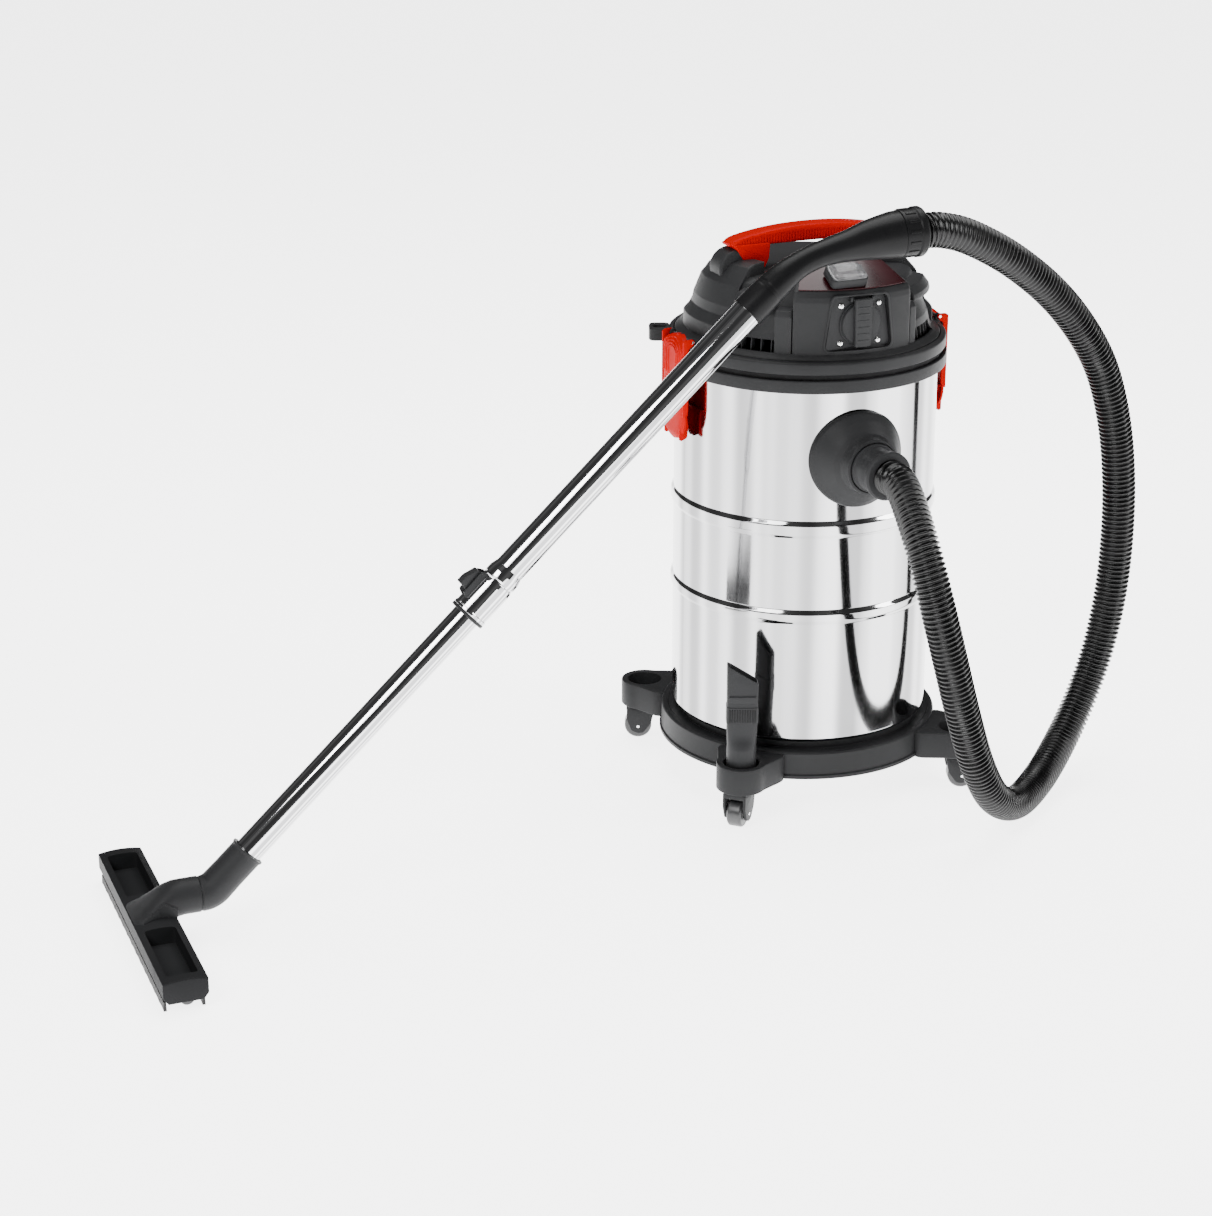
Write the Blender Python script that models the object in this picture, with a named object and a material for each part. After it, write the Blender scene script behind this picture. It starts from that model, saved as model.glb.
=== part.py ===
"""Wet and dry shop vacuum: a steel drum on a castor base, a clamped motor head, a hose and a wand with a floor nozzle.

Metres, +Z up. The origin is on the floor, on the drum's axis. The front, with the suction inlet, faces -Y,
and the two clamp latches are on the X axis. The wand stands in its own frame, beside the front of the drum.
"""

import math

import bmesh
import bpy
from mathutils import Matrix, Vector

# Overall sizes
DRUM_RADIUS = 0.155
DRUM_BOTTOM = 0.0870
DRUM_TOP = 0.5280
DRUM_WALL = 0.0009
BIG_SIDES = 32
GAP = 0.0004

# Container rim and the head's band that closes on it
RIM_RADIUS = DRUM_RADIUS + 0.0094
RIM_HEIGHT = 0.0150
RIM_LIP = 0.0100
SEAL_HEIGHT = 0.0060
BAND_RADIUS = DRUM_RADIUS + 0.0080
BAND_HEIGHT = 0.0150
BAND_WALL = 0.0065
DECK_THICKNESS = 0.0060
SKIRT_DEPTH = 0.0180

# Base, its four arms with tool holders, and the castors under them
BASE_RADIUS = DRUM_RADIUS + 0.0130
BASE_BOTTOM = 0.0470
BASE_TOP = 0.0800
ARM_BOTTOM = 0.0460
ARM_TOP = 0.0780
ARM_REACH = 0.2030
ARM_RADIUS = 0.0290
ARM_FLARE = 0.0440
HOLDER_RADIUS = 0.0205
HOLDER_FLOOR = 0.0560
CASTOR_ANGLES = (45.0, 135.0, 225.0, 315.0)
CASTOR_HEADINGS = (60.0, 157.0, 225.0, 340.0)
CASTOR_NAMES = ("rear_right", "rear_left", "front_left", "front_right")
STEM_RADIUS = 0.0050
WHEEL_RADIUS = 0.0170
WHEEL_WIDTH = 0.0180
WHEEL_TRAIL = 0.0080
AXLE_RADIUS = 0.0020
CHEEK = 0.0034

# Suction inlet
INLET_X = -0.0090
INLET_Z = 0.4370
INLET_BORE = 0.0225
INLET_FLANGE = 0.0570
INLET_REACH = 0.1960
CUFF_REACH = 0.2320
CUFF_BORE = 0.0190
HOSE_RADIUS = 0.0200

# Head cover, handle, socket and switch
COVER_WALL = 0.0030
CROWN_HEIGHT = 0.0790
BLOCK_RADIUS = 0.1490
BLOCK_FROM = -33.0
BLOCK_TO = 25.0
SOCKET_X = -0.0050
SOCKET_UP = 0.0390
SOCKET_RADIUS = 0.0215
POCKET_FLOOR = -0.1385
PLATE_THICKNESS = 0.0030
FLAP_RADIUS = 0.0245
HANDLE_WIDTH = 0.0280
HANDLE_HALF = 0.1070
HANDLE_RISE = 0.0470
BOSS_RADIUS = 0.0230
SLOPE_TILT = 28.0

# Latches
LATCH_HALF = 0.0310
LATCH_LENGTH = 0.1240
LATCH_FACE = 0.1740
LATCH_WALL = 0.0025
PIVOT_X = 0.1607
PIN_RADIUS = 0.0016

# Motor, fan, filter
MOTOR_RADIUS = 0.0550
MOTOR_HEIGHT = 0.0750
FAN_RADIUS = 0.0480
SHAFT_RADIUS = 0.0040
CAGE_RADIUS = 0.0480
CAGE_DEPTH = 0.1380
FILTER_RADIUS = 0.0800
BALL_RADIUS = 0.0200

# Wand frame: u along the wand's plan direction, v across it, z up
WAND_ORIGIN = (-0.8605, -0.1770)
WAND_TURN = -1.3
TUBE_ANGLE = 43.2
TUBE_START = (0.1129, 0.0882)
UPPER_RADIUS = 0.0172
LOWER_RADIUS = 0.0158
TUBE_WALL = 0.0010
COLLAR_FROM = 0.3520
COLLAR_TO = 0.4100
BUTTON_RISE = 0.0265
BUTTON_FOOT = 0.0030
BUTTON_PRESS = 0.0030
GRIP_FROM = 0.7880
UPPER_END = 0.8180
NECK_Z = 0.0470
NECK_END = 0.0565
NOZZLE_HALF = 0.1670
NOZZLE_WIDTH = 0.0470
NOZZLE_TOP = 0.0360
NOZZLE_BOTTOM = 0.0100
ROLLER_RADIUS = 0.0080

# Hose route: chosen points between the grip and the inlet
HOSE_ROUTE = (
    (0.0374, -0.1974, 0.7045),
    (0.0620, -0.1976, 0.7035),
    (0.1000, -0.1950, 0.6920),
    (0.1600, -0.1860, 0.6600),
    (0.2250, -0.1700, 0.6130),
    (0.2760, -0.1590, 0.5610),
    (0.3120, -0.1530, 0.5060),
    (0.3350, -0.1510, 0.4380),
    (0.3470, -0.1500, 0.3650),
    (0.3500, -0.1500, 0.2900),
    (0.3450, -0.1510, 0.2200),
    (0.3310, -0.1540, 0.1560),
    (0.3070, -0.1610, 0.0990),
    (0.2690, -0.1800, 0.0520),
    (0.2150, -0.2200, 0.0260),
    (0.1550, -0.2680, 0.0260),
    (0.1030, -0.3060, 0.0580),
    (0.0660, -0.3270, 0.1130),
    (0.0390, -0.3360, 0.1820),
    (0.0170, -0.3390, 0.2530),
    (-0.0010, -0.3360, 0.3200),
    (-0.0110, -0.3180, 0.3790),
    (-0.0110, -0.2820, 0.4210),
    (-0.0090, -0.2560, 0.4366),
    (-0.0090, -0.2420, 0.4370),
    (-0.0090, -0.2326, 0.4370),
)
HOSE_STEPS = 3

# Heights that follow from the sizes above
RIM_TOP = DRUM_TOP + 0.0040
RIM_BOTTOM = RIM_TOP - RIM_HEIGHT
DECK = RIM_TOP + SEAL_HEIGHT
DECK_TOP = DECK + DECK_THICKNESS
BAND_TOP = DECK + BAND_HEIGHT
CROWN = BAND_TOP + CROWN_HEIGHT
PIVOT_Z = BAND_TOP + 0.0045
SOCKET_Z = BAND_TOP + SOCKET_UP


# ---------------------------------------------------------------- helpers

def clear_scene():
    for old in list(bpy.data.objects):
        bpy.data.objects.remove(old, do_unlink=True)


def make_material(name, colour, roughness, metallic=0.0, alpha=1.0):
    material = bpy.data.materials.new(name)
    material.use_nodes = True
    shader = material.node_tree.nodes["Principled BSDF"]
    shader.inputs["Base Color"].default_value = (*colour, 1.0)
    shader.inputs["Roughness"].default_value = roughness
    shader.inputs["Metallic"].default_value = metallic
    shader.inputs["Alpha"].default_value = alpha
    return material


FINISHES = {
    "black": ((0.045, 0.046, 0.049), 0.55, 0.0),
    "grey": ((0.090, 0.092, 0.096), 0.50, 0.0),
    "red": ((0.780, 0.010, 0.015), 0.38, 0.0),
    "maroon": ((0.060, 0.008, 0.012), 0.12, 0.0),
    "chrome": ((0.780, 0.785, 0.790), 0.08, 1.0),
    "steel": ((0.620, 0.630, 0.640), 0.18, 1.0),
    "dark_steel": ((0.300, 0.300, 0.310), 0.40, 1.0),
    "rubber": ((0.020, 0.020, 0.021), 0.70, 0.0),
    "clear": ((0.800, 0.820, 0.830), 0.10, 0.0),
    "paper": ((0.820, 0.800, 0.740), 0.90, 0.0),
    "white": ((0.820, 0.820, 0.800), 0.45, 0.0),
}


def finish_object(obj, finish, smooth=True):
    """Gives an object its own material, its shading and its place in the scene."""
    colour, roughness, metallic = FINISHES[finish]
    obj.data.materials.append(make_material(f"{obj.name}_{finish}", colour, roughness, metallic))
    if smooth and obj.type == "MESH":
        obj.data.shade_smooth()
        obj.data.set_sharp_from_angle(angle=math.radians(35))
    return obj


def object_from_bmesh(name, shape, parent=None, location=(0, 0, 0), rotation=(0, 0, 0)):
    """Closes a bmesh into a named object, placed by location, rotation and parent."""
    bmesh.ops.recalc_face_normals(shape, faces=shape.faces)
    mesh = bpy.data.meshes.new(name)
    shape.to_mesh(mesh)
    shape.free()
    obj = bpy.data.objects.new(name, mesh)
    bpy.context.scene.collection.objects.link(obj)
    obj.parent = parent
    obj.location = location
    obj.rotation_euler = rotation
    return obj


def turned(outline, sides, start=0.0, end=360.0):
    """A solid turned about Z: the closed outline (r, z) is carried round, all the way or from start to end."""
    shape = bmesh.new()
    full = abs(end - start - 360.0) < 1e-6
    count = sides if full else sides + 1
    poles = {}
    rings = []
    for step in range(count):
        angle = math.radians(start + (end - start) * step / sides)
        ring = []
        for index, (radius, height) in enumerate(outline):
            if radius < 1e-7:
                if index not in poles:
                    poles[index] = shape.verts.new((0.0, 0.0, height))
                ring.append(poles[index])
            else:
                ring.append(shape.verts.new((radius * math.cos(angle), radius * math.sin(angle), height)))
        rings.append(ring)
    for step in range(sides):
        here = rings[step]
        there = rings[(step + 1) % count]
        for index in range(len(outline)):
            after = (index + 1) % len(outline)
            corners = []
            for vert in (here[index], here[after], there[after], there[index]):
                if vert not in corners:
                    corners.append(vert)
            if len(corners) > 2:
                shape.faces.new(corners)
    if not full:
        shape.faces.new(rings[0])
        shape.faces.new(rings[-1])
    return shape


def box(low, high, bevel=0.0, segments=1):
    """A block between two corners, with its edges bevelled."""
    shape = bmesh.new()
    middle = (Vector(low) + Vector(high)) / 2
    size = Vector(high) - Vector(low)
    bmesh.ops.create_cube(shape, size=1.0, matrix=Matrix.Translation(middle) @ Matrix.Diagonal((*size, 1.0)))
    if bevel > 0:
        bmesh.ops.bevel(
            shape, geom=list(shape.edges), offset=bevel, segments=segments, affect="EDGES", profile=0.5
        )
    return shape


def prism(outline, low, high, axis="Y"):
    """A flat outline carried from low to high along an axis: (x, z) along Y, (y, z) along X, (x, y) along Z."""
    order = {
        "Y": lambda a, b, t: (a, t, b),
        "X": lambda a, b, t: (t, a, b),
        "Z": lambda a, b, t: (a, b, t),
    }[axis]
    shape = bmesh.new()
    front = [shape.verts.new(order(a, b, low)) for a, b in outline]
    back = [shape.verts.new(order(a, b, high)) for a, b in outline]
    shape.faces.new(front)
    shape.faces.new(list(reversed(back)))
    count = len(outline)
    for index in range(count):
        after = (index + 1) % count
        shape.faces.new((front[after], front[index], back[index], back[after]))
    return shape


def rod(radius, low, high, axis="Z", sides=16, centre=(0.0, 0.0)):
    """A round bar from low to high along an axis, its other two coordinates at centre."""
    ring = []
    for step in range(sides):
        angle = 2 * math.pi * (step + 0.5) / sides
        ring.append((centre[0] + radius * math.cos(angle), centre[1] + radius * math.sin(angle)))
    return prism(ring, low, high, axis)


def swept(path, outer, inner, sides):
    """A tube whose rings stand square to a path (u, z) in the wand's plane, with outer and inner radii along it."""
    shape = bmesh.new()
    layers = []
    for radii in (outer, inner):
        rings = []
        for index, (u, z) in enumerate(path):
            before = path[max(index - 1, 0)]
            after = path[min(index + 1, len(path) - 1)]
            along = Vector((after[0] - before[0], 0.0, after[1] - before[1])).normalized()
            up = Vector((-along.z, 0.0, along.x))
            across = Vector((0.0, 1.0, 0.0))
            ring = []
            for step in range(sides):
                angle = 2 * math.pi * step / sides
                offset = radii[index] * (math.cos(angle) * across + math.sin(angle) * up)
                ring.append(shape.verts.new(Vector((u, 0.0, z)) + offset))
            rings.append(ring)
        layers.append(rings)
    loop = layers[0] + list(reversed(layers[1]))
    for index in range(len(loop)):
        here = loop[index]
        there = loop[(index + 1) % len(loop)]
        for step in range(sides):
            after = (step + 1) % sides
            shape.faces.new((here[step], here[after], there[after], there[step]))
    return shape


def guide(shape, name, **place):
    """A cutter or a joining body: it shapes its neighbour and isn't a part itself."""
    obj = object_from_bmesh(name, shape, **place)
    obj.hide_render = True
    obj.display_type = "WIRE"
    return obj


def boolean(obj, other, operation):
    modifier = obj.modifiers.new(f"{operation.lower()}_{other.name}", "BOOLEAN")
    modifier.operation = operation
    modifier.object = other
    modifier.solver = "EXACT"


def cut(obj, shape, name, **place):
    boolean(obj, guide(shape, name, **place), "DIFFERENCE")


def fuse(obj, shape, name, **place):
    boolean(obj, guide(shape, name, **place), "UNION")


def empty(name, location, rotation=(0, 0, 0), parent=None):
    frame = bpy.data.objects.new(name, None)
    bpy.context.scene.collection.objects.link(frame)
    frame.parent = parent
    frame.location = location
    frame.rotation_euler = rotation
    return frame


def smooth_points(points, steps):
    """Reads a Catmull-Rom curve through the points, with a number of steps between each two."""
    knots = [Vector(p) for p in points]
    ends = [2 * knots[0] - knots[1]] + knots + [2 * knots[-1] - knots[-2]]
    result = []
    for index in range(1, len(ends) - 2):
        a, b, c, d = ends[index - 1:index + 3]
        for step in range(steps):
            t = step / steps
            result.append(0.5 * (
                2 * b + (c - a) * t + (2 * a - 5 * b + 4 * c - d) * t ** 2 + (3 * b - a - 3 * c + d) * t ** 3
            ))
    result.append(knots[-1])
    return result


# ---------------------------------------------------------------- container

def bead(bottom, top, proud=0.0028):
    """A swage rolled out of the drum's wall, as four outline points."""
    rise = (top - bottom) * 0.25
    return [
        (DRUM_RADIUS, bottom),
        (DRUM_RADIUS + proud, bottom + rise),
        (DRUM_RADIUS + proud, top - rise),
        (DRUM_RADIUS, top),
    ]


def make_drum():
    corner = 0.005
    wall = [(DRUM_RADIUS - corner, DRUM_BOTTOM), (DRUM_RADIUS, DRUM_BOTTOM + corner)]
    wall += bead(0.2370, 0.2545) + bead(0.3425, 0.3630) + [(DRUM_RADIUS, DRUM_TOP)]
    inside = [(radius - DRUM_WALL, height) for radius, height in reversed(wall[1:])]
    outline = [(0.0, DRUM_BOTTOM)] + wall + inside
    outline += [(DRUM_RADIUS - corner - DRUM_WALL, DRUM_BOTTOM + DRUM_WALL), (0.0, DRUM_BOTTOM + DRUM_WALL)]
    drum = finish_object(object_from_bmesh("drum", turned(outline, BIG_SIDES)), "steel")
    cut(drum, rod(INLET_BORE + 0.0045, -0.18, -0.13, "Y", 24, (INLET_X, INLET_Z)), "inlet_hole_cutter")


def make_rim():
    inner = DRUM_RADIUS - DRUM_WALL - GAP
    outline = [
        (DRUM_RADIUS + GAP, RIM_BOTTOM),
        (RIM_RADIUS, RIM_BOTTOM),
        (RIM_RADIUS, RIM_TOP - 0.001),
        (RIM_RADIUS - 0.001, RIM_TOP),
        (inner - 0.0035, RIM_TOP),
        (inner - 0.0035, RIM_TOP - RIM_LIP),
        (inner, RIM_TOP - RIM_LIP),
        (inner, DRUM_TOP + GAP),
        (DRUM_RADIUS + GAP, DRUM_TOP + GAP),
    ]
    finish_object(object_from_bmesh("container_rim", turned(outline, BIG_SIDES)), "black")


def make_inlet():
    """The moulded inlet: a domed flange saddled on the drum, a pipe through its wall, and the hose's cuff in it."""
    turn = (math.radians(90), 0, 0)
    place = (INLET_X, 0.0, INLET_Z)
    pipe = INLET_BORE + 0.0035
    start = DRUM_RADIUS - 0.0200
    outline = [
        (pipe - 0.0010, start),
        (INLET_FLANGE, start),
        (INLET_FLANGE, DRUM_RADIUS - 0.0010),
        (INLET_FLANGE - 0.0060, DRUM_RADIUS + 0.0090),
        (INLET_FLANGE - 0.0150, DRUM_RADIUS + 0.0180),
        (INLET_FLANGE - 0.0240, DRUM_RADIUS + 0.0240),
        (INLET_FLANGE - 0.0260, INLET_REACH),
        (pipe - 0.0010, INLET_REACH),
    ]
    flange = object_from_bmesh("inlet_flange", turned(outline, 28), location=place, rotation=turn)
    finish_object(flange, "black")
    saddle = [
        (0.0, INLET_Z - 0.09),
        (DRUM_RADIUS + GAP, INLET_Z - 0.09),
        (DRUM_RADIUS + GAP, INLET_Z + 0.09),
        (0.0, INLET_Z + 0.09),
    ]
    cut(flange, turned(saddle, BIG_SIDES), "inlet_saddle_cutter")
    tube = [(INLET_BORE, start), (pipe, start), (pipe, INLET_REACH + 0.0001), (INLET_BORE, INLET_REACH + 0.0001)]
    fuse(flange, turned(tube, 28), "inlet_pipe", location=place, rotation=turn)
    outline = [
        (CUFF_BORE, DRUM_RADIUS),
        (INLET_BORE - 2 * GAP, DRUM_RADIUS),
        (INLET_BORE - 2 * GAP, INLET_REACH + 2 * GAP),
        (0.0275, INLET_REACH + 2 * GAP),
        (0.0275, CUFF_REACH - 0.003),
        (0.0255, CUFF_REACH),
        (CUFF_BORE, CUFF_REACH),
    ]
    cuff = object_from_bmesh("hose_inlet_cuff", turned(outline, 24), location=place, rotation=turn)
    finish_object(cuff, "black")


def make_base():
    ledge = DRUM_BOTTOM - GAP
    outline = [
        (0.1050, BASE_TOP - 0.0050),
        (BASE_RADIUS - 0.0050, BASE_TOP - 0.0050),
        (BASE_RADIUS - 0.0050, BASE_BOTTOM),
        (BASE_RADIUS + 0.0020, BASE_BOTTOM),
        (BASE_RADIUS + 0.0020, BASE_BOTTOM + 0.0050),
        (BASE_RADIUS, BASE_BOTTOM + 0.0060),
        (BASE_RADIUS, BASE_TOP - 0.0020),
        (BASE_RADIUS - 0.0020, BASE_TOP),
        (DRUM_RADIUS - 0.0080, BASE_TOP),
        (DRUM_RADIUS - 0.0080, ledge),
        (0.1050, ledge),
    ]
    base = finish_object(object_from_bmesh("base_ring", turned(outline, BIG_SIDES)), "black")
    for name, angle in zip(CASTOR_NAMES, CASTOR_ANGLES):
        turn = (0, 0, math.radians(angle))
        arm = []
        for step in range(9):
            swing = math.radians(-90 + 180 * step / 8)
            arm.append((ARM_REACH + ARM_RADIUS * math.cos(swing), ARM_RADIUS * math.sin(swing)))
        arm += [(BASE_RADIUS - 0.0080, ARM_FLARE), (BASE_RADIUS - 0.0080, -ARM_FLARE)]
        fuse(base, prism(arm, ARM_BOTTOM, ARM_TOP, "Z"), f"arm_{name}", rotation=turn)
        seat = [
            (0.0, ARM_BOTTOM - 0.01),
            (STEM_RADIUS + 2 * GAP, ARM_BOTTOM - 0.01),
            (STEM_RADIUS + 2 * GAP, HOLDER_FLOOR - 0.0040),
            (0.0, HOLDER_FLOOR - 0.0040),
        ]
        spot = (ARM_REACH * math.cos(turn[2]), ARM_REACH * math.sin(turn[2]), 0)
        cut(base, turned(seat, 12), f"stem_cutter_{name}", location=spot)
        pocket = [
            (0.0, HOLDER_FLOOR),
            (HOLDER_RADIUS, HOLDER_FLOOR),
            (HOLDER_RADIUS, ARM_TOP + 0.01),
            (0.0, ARM_TOP + 0.01),
        ]
        cut(base, turned(pocket, 20), f"holder_cutter_{name}", location=spot)


def make_castor(name, angle, heading):
    """A swivelling twin-cheek fork on a stem, its wheel, and the axle that the wheel turns on."""
    spin = math.radians(angle)
    turn = (0, 0, math.radians(heading + 180))
    pivot = empty(f"castor_{name}_pivot", (ARM_REACH * math.cos(spin), ARM_REACH * math.sin(spin), 0), turn)
    inner = WHEEL_WIDTH / 2 + 0.0018
    hood_bottom = 2 * WHEEL_RADIUS + 0.0040
    hood_top = ARM_BOTTOM - 0.0006
    fork = object_from_bmesh(
        f"castor_fork_{name}",
        box((-0.0230, -inner - CHEEK, hood_bottom), (0.0140, inner + CHEEK, hood_top), 0.0015),
        parent=pivot,
    )
    finish_object(fork, "black")
    fuse(fork, rod(STEM_RADIUS, hood_top - 0.002, HOLDER_FLOOR - 0.0050, "Z", 12), f"stem_{name}", parent=pivot)
    cheek = [(0.0135, hood_top - 0.002), (0.0080, WHEEL_RADIUS + 0.004)]
    for step in range(7):
        swing = math.radians(-20 - 140 * step / 6)
        cheek.append((-WHEEL_TRAIL + 0.009 * math.cos(swing), WHEEL_RADIUS + 0.009 * math.sin(swing)))
    cheek += [(-0.0225, WHEEL_RADIUS + 0.010), (-0.0225, hood_top - 0.002)]
    for side, low in (("a", -inner - CHEEK), ("b", inner)):
        fuse(fork, prism(cheek, low, low + CHEEK, "Y"), f"cheek_{side}_{name}", parent=pivot)
    half = inner + CHEEK
    hole = rod(AXLE_RADIUS + GAP, -half - 0.01, half + 0.01, "Y", 10, (-WHEEL_TRAIL, WHEEL_RADIUS))
    cut(fork, hole, f"axle_cutter_{name}", parent=pivot)
    spot = (-WHEEL_TRAIL, 0.0, WHEEL_RADIUS)
    across = (math.radians(90), 0, 0)
    axle = object_from_bmesh(
        f"castor_axle_{name}", rod(AXLE_RADIUS, -half, half, "Z", 10), parent=pivot, location=spot, rotation=across
    )
    finish_object(axle, "steel")
    edge = 0.0025
    outline = [
        (AXLE_RADIUS + GAP, -WHEEL_WIDTH / 2),
        (WHEEL_RADIUS - edge, -WHEEL_WIDTH / 2),
        (WHEEL_RADIUS, -WHEEL_WIDTH / 2 + edge),
        (WHEEL_RADIUS, WHEEL_WIDTH / 2 - edge),
        (WHEEL_RADIUS - edge, WHEEL_WIDTH / 2),
        (AXLE_RADIUS + GAP, WHEEL_WIDTH / 2),
    ]
    wheel = object_from_bmesh(
        f"castor_wheel_{name}", turned(outline, 16), parent=pivot, location=spot, rotation=across
    )
    finish_object(wheel, "rubber")


def make_accessory():
    """A combined crevice and brush tool, standing by its stem in the front left holder."""
    spin = math.radians(CASTOR_ANGLES[2])
    frame = empty("accessory_frame", (ARM_REACH * math.cos(spin), ARM_REACH * math.sin(spin), 0), (0, 0, spin))
    stem = HOLDER_RADIUS - 0.0030
    bore = stem - 0.0025
    foot = HOLDER_FLOOR + GAP
    outline = [
        (bore, foot),
        (stem, foot),
        (stem, 0.1020),
        (stem - 0.0030, 0.1100),
        (stem - 0.0030, 0.1180),
        (bore - 0.0030, 0.1180),
        (bore, 0.1060),
    ]
    tool = finish_object(object_from_bmesh("accessory_tool", turned(outline, 20), parent=frame), "black")
    body = [(-0.0185, 0.1120), (0.0185, 0.1120), (0.0185, 0.1800), (-0.0185, 0.2020)]
    fuse(tool, prism(body, -0.0110, 0.0110, "X"), "accessory_body", parent=frame)
    cut(tool, box((-0.0070, -0.0140, 0.1100), (0.0070, 0.0140, 0.2150)), "accessory_slot", parent=frame)


# ---------------------------------------------------------------- head

def make_head_base():
    outline = [
        (0.0400, DECK),
        (0.1460, DECK),
        (0.1460, DECK - SKIRT_DEPTH),
        (0.1485, DECK - SKIRT_DEPTH),
        (0.1485, DECK),
        (BAND_RADIUS, DECK),
        (BAND_RADIUS, BAND_TOP - 0.0015),
        (BAND_RADIUS - 0.0015, BAND_TOP),
        (BAND_RADIUS - BAND_WALL, BAND_TOP),
        (BAND_RADIUS - BAND_WALL, DECK_TOP),
        (0.0400, DECK_TOP),
    ]
    base = finish_object(object_from_bmesh("head_base", turned(outline, BIG_SIDES)), "black")
    ear_radius = 0.0040
    for side, sign in (("left", -1), ("right", 1)):
        ear = []
        for step in range(9):
            swing = math.radians(180 * step / 8)
            ear.append((sign * PIVOT_X + ear_radius * math.cos(swing), PIVOT_Z + ear_radius * math.sin(swing)))
        ear += [(sign * PIVOT_X - ear_radius, BAND_TOP - 0.006), (sign * PIVOT_X + ear_radius * 0.4, BAND_TOP - 0.006)]
        if sign < 0:
            ear[-2:] = [(-PIVOT_X - ear_radius * 0.4, BAND_TOP - 0.006), (-PIVOT_X + ear_radius, BAND_TOP - 0.006)]
        outer = LATCH_HALF - LATCH_WALL - 0.0010
        for end, low in (("front", -outer), ("back", outer - 0.0035)):
            fuse(base, prism(ear, low, low + 0.0035, "Y"), f"latch_ear_{side}_{end}")
        hole = rod(PIN_RADIUS + GAP, -LATCH_HALF - 0.01, LATCH_HALF + 0.01, "Y", 10, (sign * PIVOT_X, PIVOT_Z))
        cut(base, hole, f"latch_pin_cutter_{side}")
    turn = (0, 0, math.radians(-23))
    lug = box((-0.1880, -0.0160, BAND_TOP - 0.0120), (-0.1600, 0.0160, BAND_TOP + 0.0010), 0.003)
    fuse(base, lug, "hook_lug", rotation=turn)
    cut(base, rod(0.0075, DECK, BAND_TOP + 0.02, "Z", 14, (-0.1770, 0.0)), "hook_lug_hole", rotation=turn)


def cover_outline():
    """The head's outer silhouette above the band, from its foot to the middle of its crown."""
    foot = BAND_RADIUS - BAND_WALL - 0.0010
    return [
        (foot, DECK_TOP + GAP),
        (foot, BAND_TOP + 0.0010),
        (foot - 0.0055, BAND_TOP + 0.0040),
        (foot - 0.0110, BAND_TOP + 0.0110),
        (foot - 0.0180, BAND_TOP + 0.0300),
        (foot - 0.0275, BAND_TOP + 0.0500),
        (foot - 0.0345, BAND_TOP + 0.0680),
        (foot - 0.0440, CROWN - 0.0010),
        (foot - 0.0700, CROWN),
        (0.0, CROWN),
    ]


def slope_point(along, lift):
    """A point (r, z) on the block's sloping top: along from 0 at the front edge to 1, lifted square to it."""
    front = Vector((BLOCK_RADIUS - 0.0030, CROWN - 0.0030))
    tilt = math.radians(SLOPE_TILT)
    place = front + 0.0520 * along * Vector((-math.cos(tilt), math.sin(tilt)))
    return place + lift * Vector((math.sin(tilt), math.cos(tilt)))


def make_cover():
    outer = cover_outline()
    inner = []
    for radius, height in reversed(outer[1:-1]):
        inner.append((radius - COVER_WALL, height - (COVER_WALL if radius < 0.12 else 0.0)))
    outline = outer + [(0.0, CROWN - COVER_WALL)] + inner + [(outer[0][0] - COVER_WALL, outer[0][1])]
    cover = finish_object(object_from_bmesh("head_cover", turned(outline, BIG_SIDES)), "black")
    front = -90.0
    inside = outer[6][0] - 0.0010
    block = [
        (inside, BAND_TOP + 0.0010),
        (BLOCK_RADIUS, BAND_TOP + 0.0010),
        (BLOCK_RADIUS, CROWN - 0.0060),
        tuple(slope_point(0.0, 0.0)),
        tuple(slope_point(1.0, 0.0)),
        (slope_point(1.0, 0.0)[0], CROWN - 0.0020),
        (inside, CROWN - 0.0080),
    ]
    fuse(cover, turned(block, 12, front + BLOCK_FROM, front + BLOCK_TO), "front_block")
    for side, low, high in (("left", -0.1180, -0.0865), ("right", 0.0865, 0.1180)):
        fuse(cover, rod(BOSS_RADIUS, low, high, "X", 18, (0.0, CROWN + 0.0020)), f"handle_boss_{side}")
    fuse(cover, rod(0.0160, 0.1080, 0.1440, "Y", 14, (0.0, BAND_TOP + 0.0250)), "gland_boss")
    lead_hole = rod(0.0040, 0.0900, 0.1600, "Y", 10, (0.0, BAND_TOP + 0.0250))
    cut(cover, lead_hole, "lead_hole_cutter")
    pocket = [
        (-0.0495, BAND_TOP + 0.0090),
        (0.0345, BAND_TOP + 0.0090),
        (0.0255, CROWN - 0.0070),
        (-0.0405, CROWN - 0.0070),
    ]
    cut(cover, prism(pocket, -0.1700, POCKET_FLOOR, "Y"), "socket_pocket")
    well = rod(SOCKET_RADIUS + 0.0008, POCKET_FLOOR - 0.01, -0.1175, "Y", 24, (SOCKET_X, SOCKET_Z))
    cut(cover, well, "socket_well_cutter")
    for name, angle in (("front_left", -140.0), ("front_right", -52.0), ("rear_left", 130.0), ("rear_right", 50.0)):
        slot = box((0.1180, -0.0220, BAND_TOP + 0.0060), (0.1700, 0.0220, BAND_TOP + 0.0160))
        cut(cover, slot, f"vent_cutter_{name}", rotation=(0, 0, math.radians(angle)))


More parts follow.
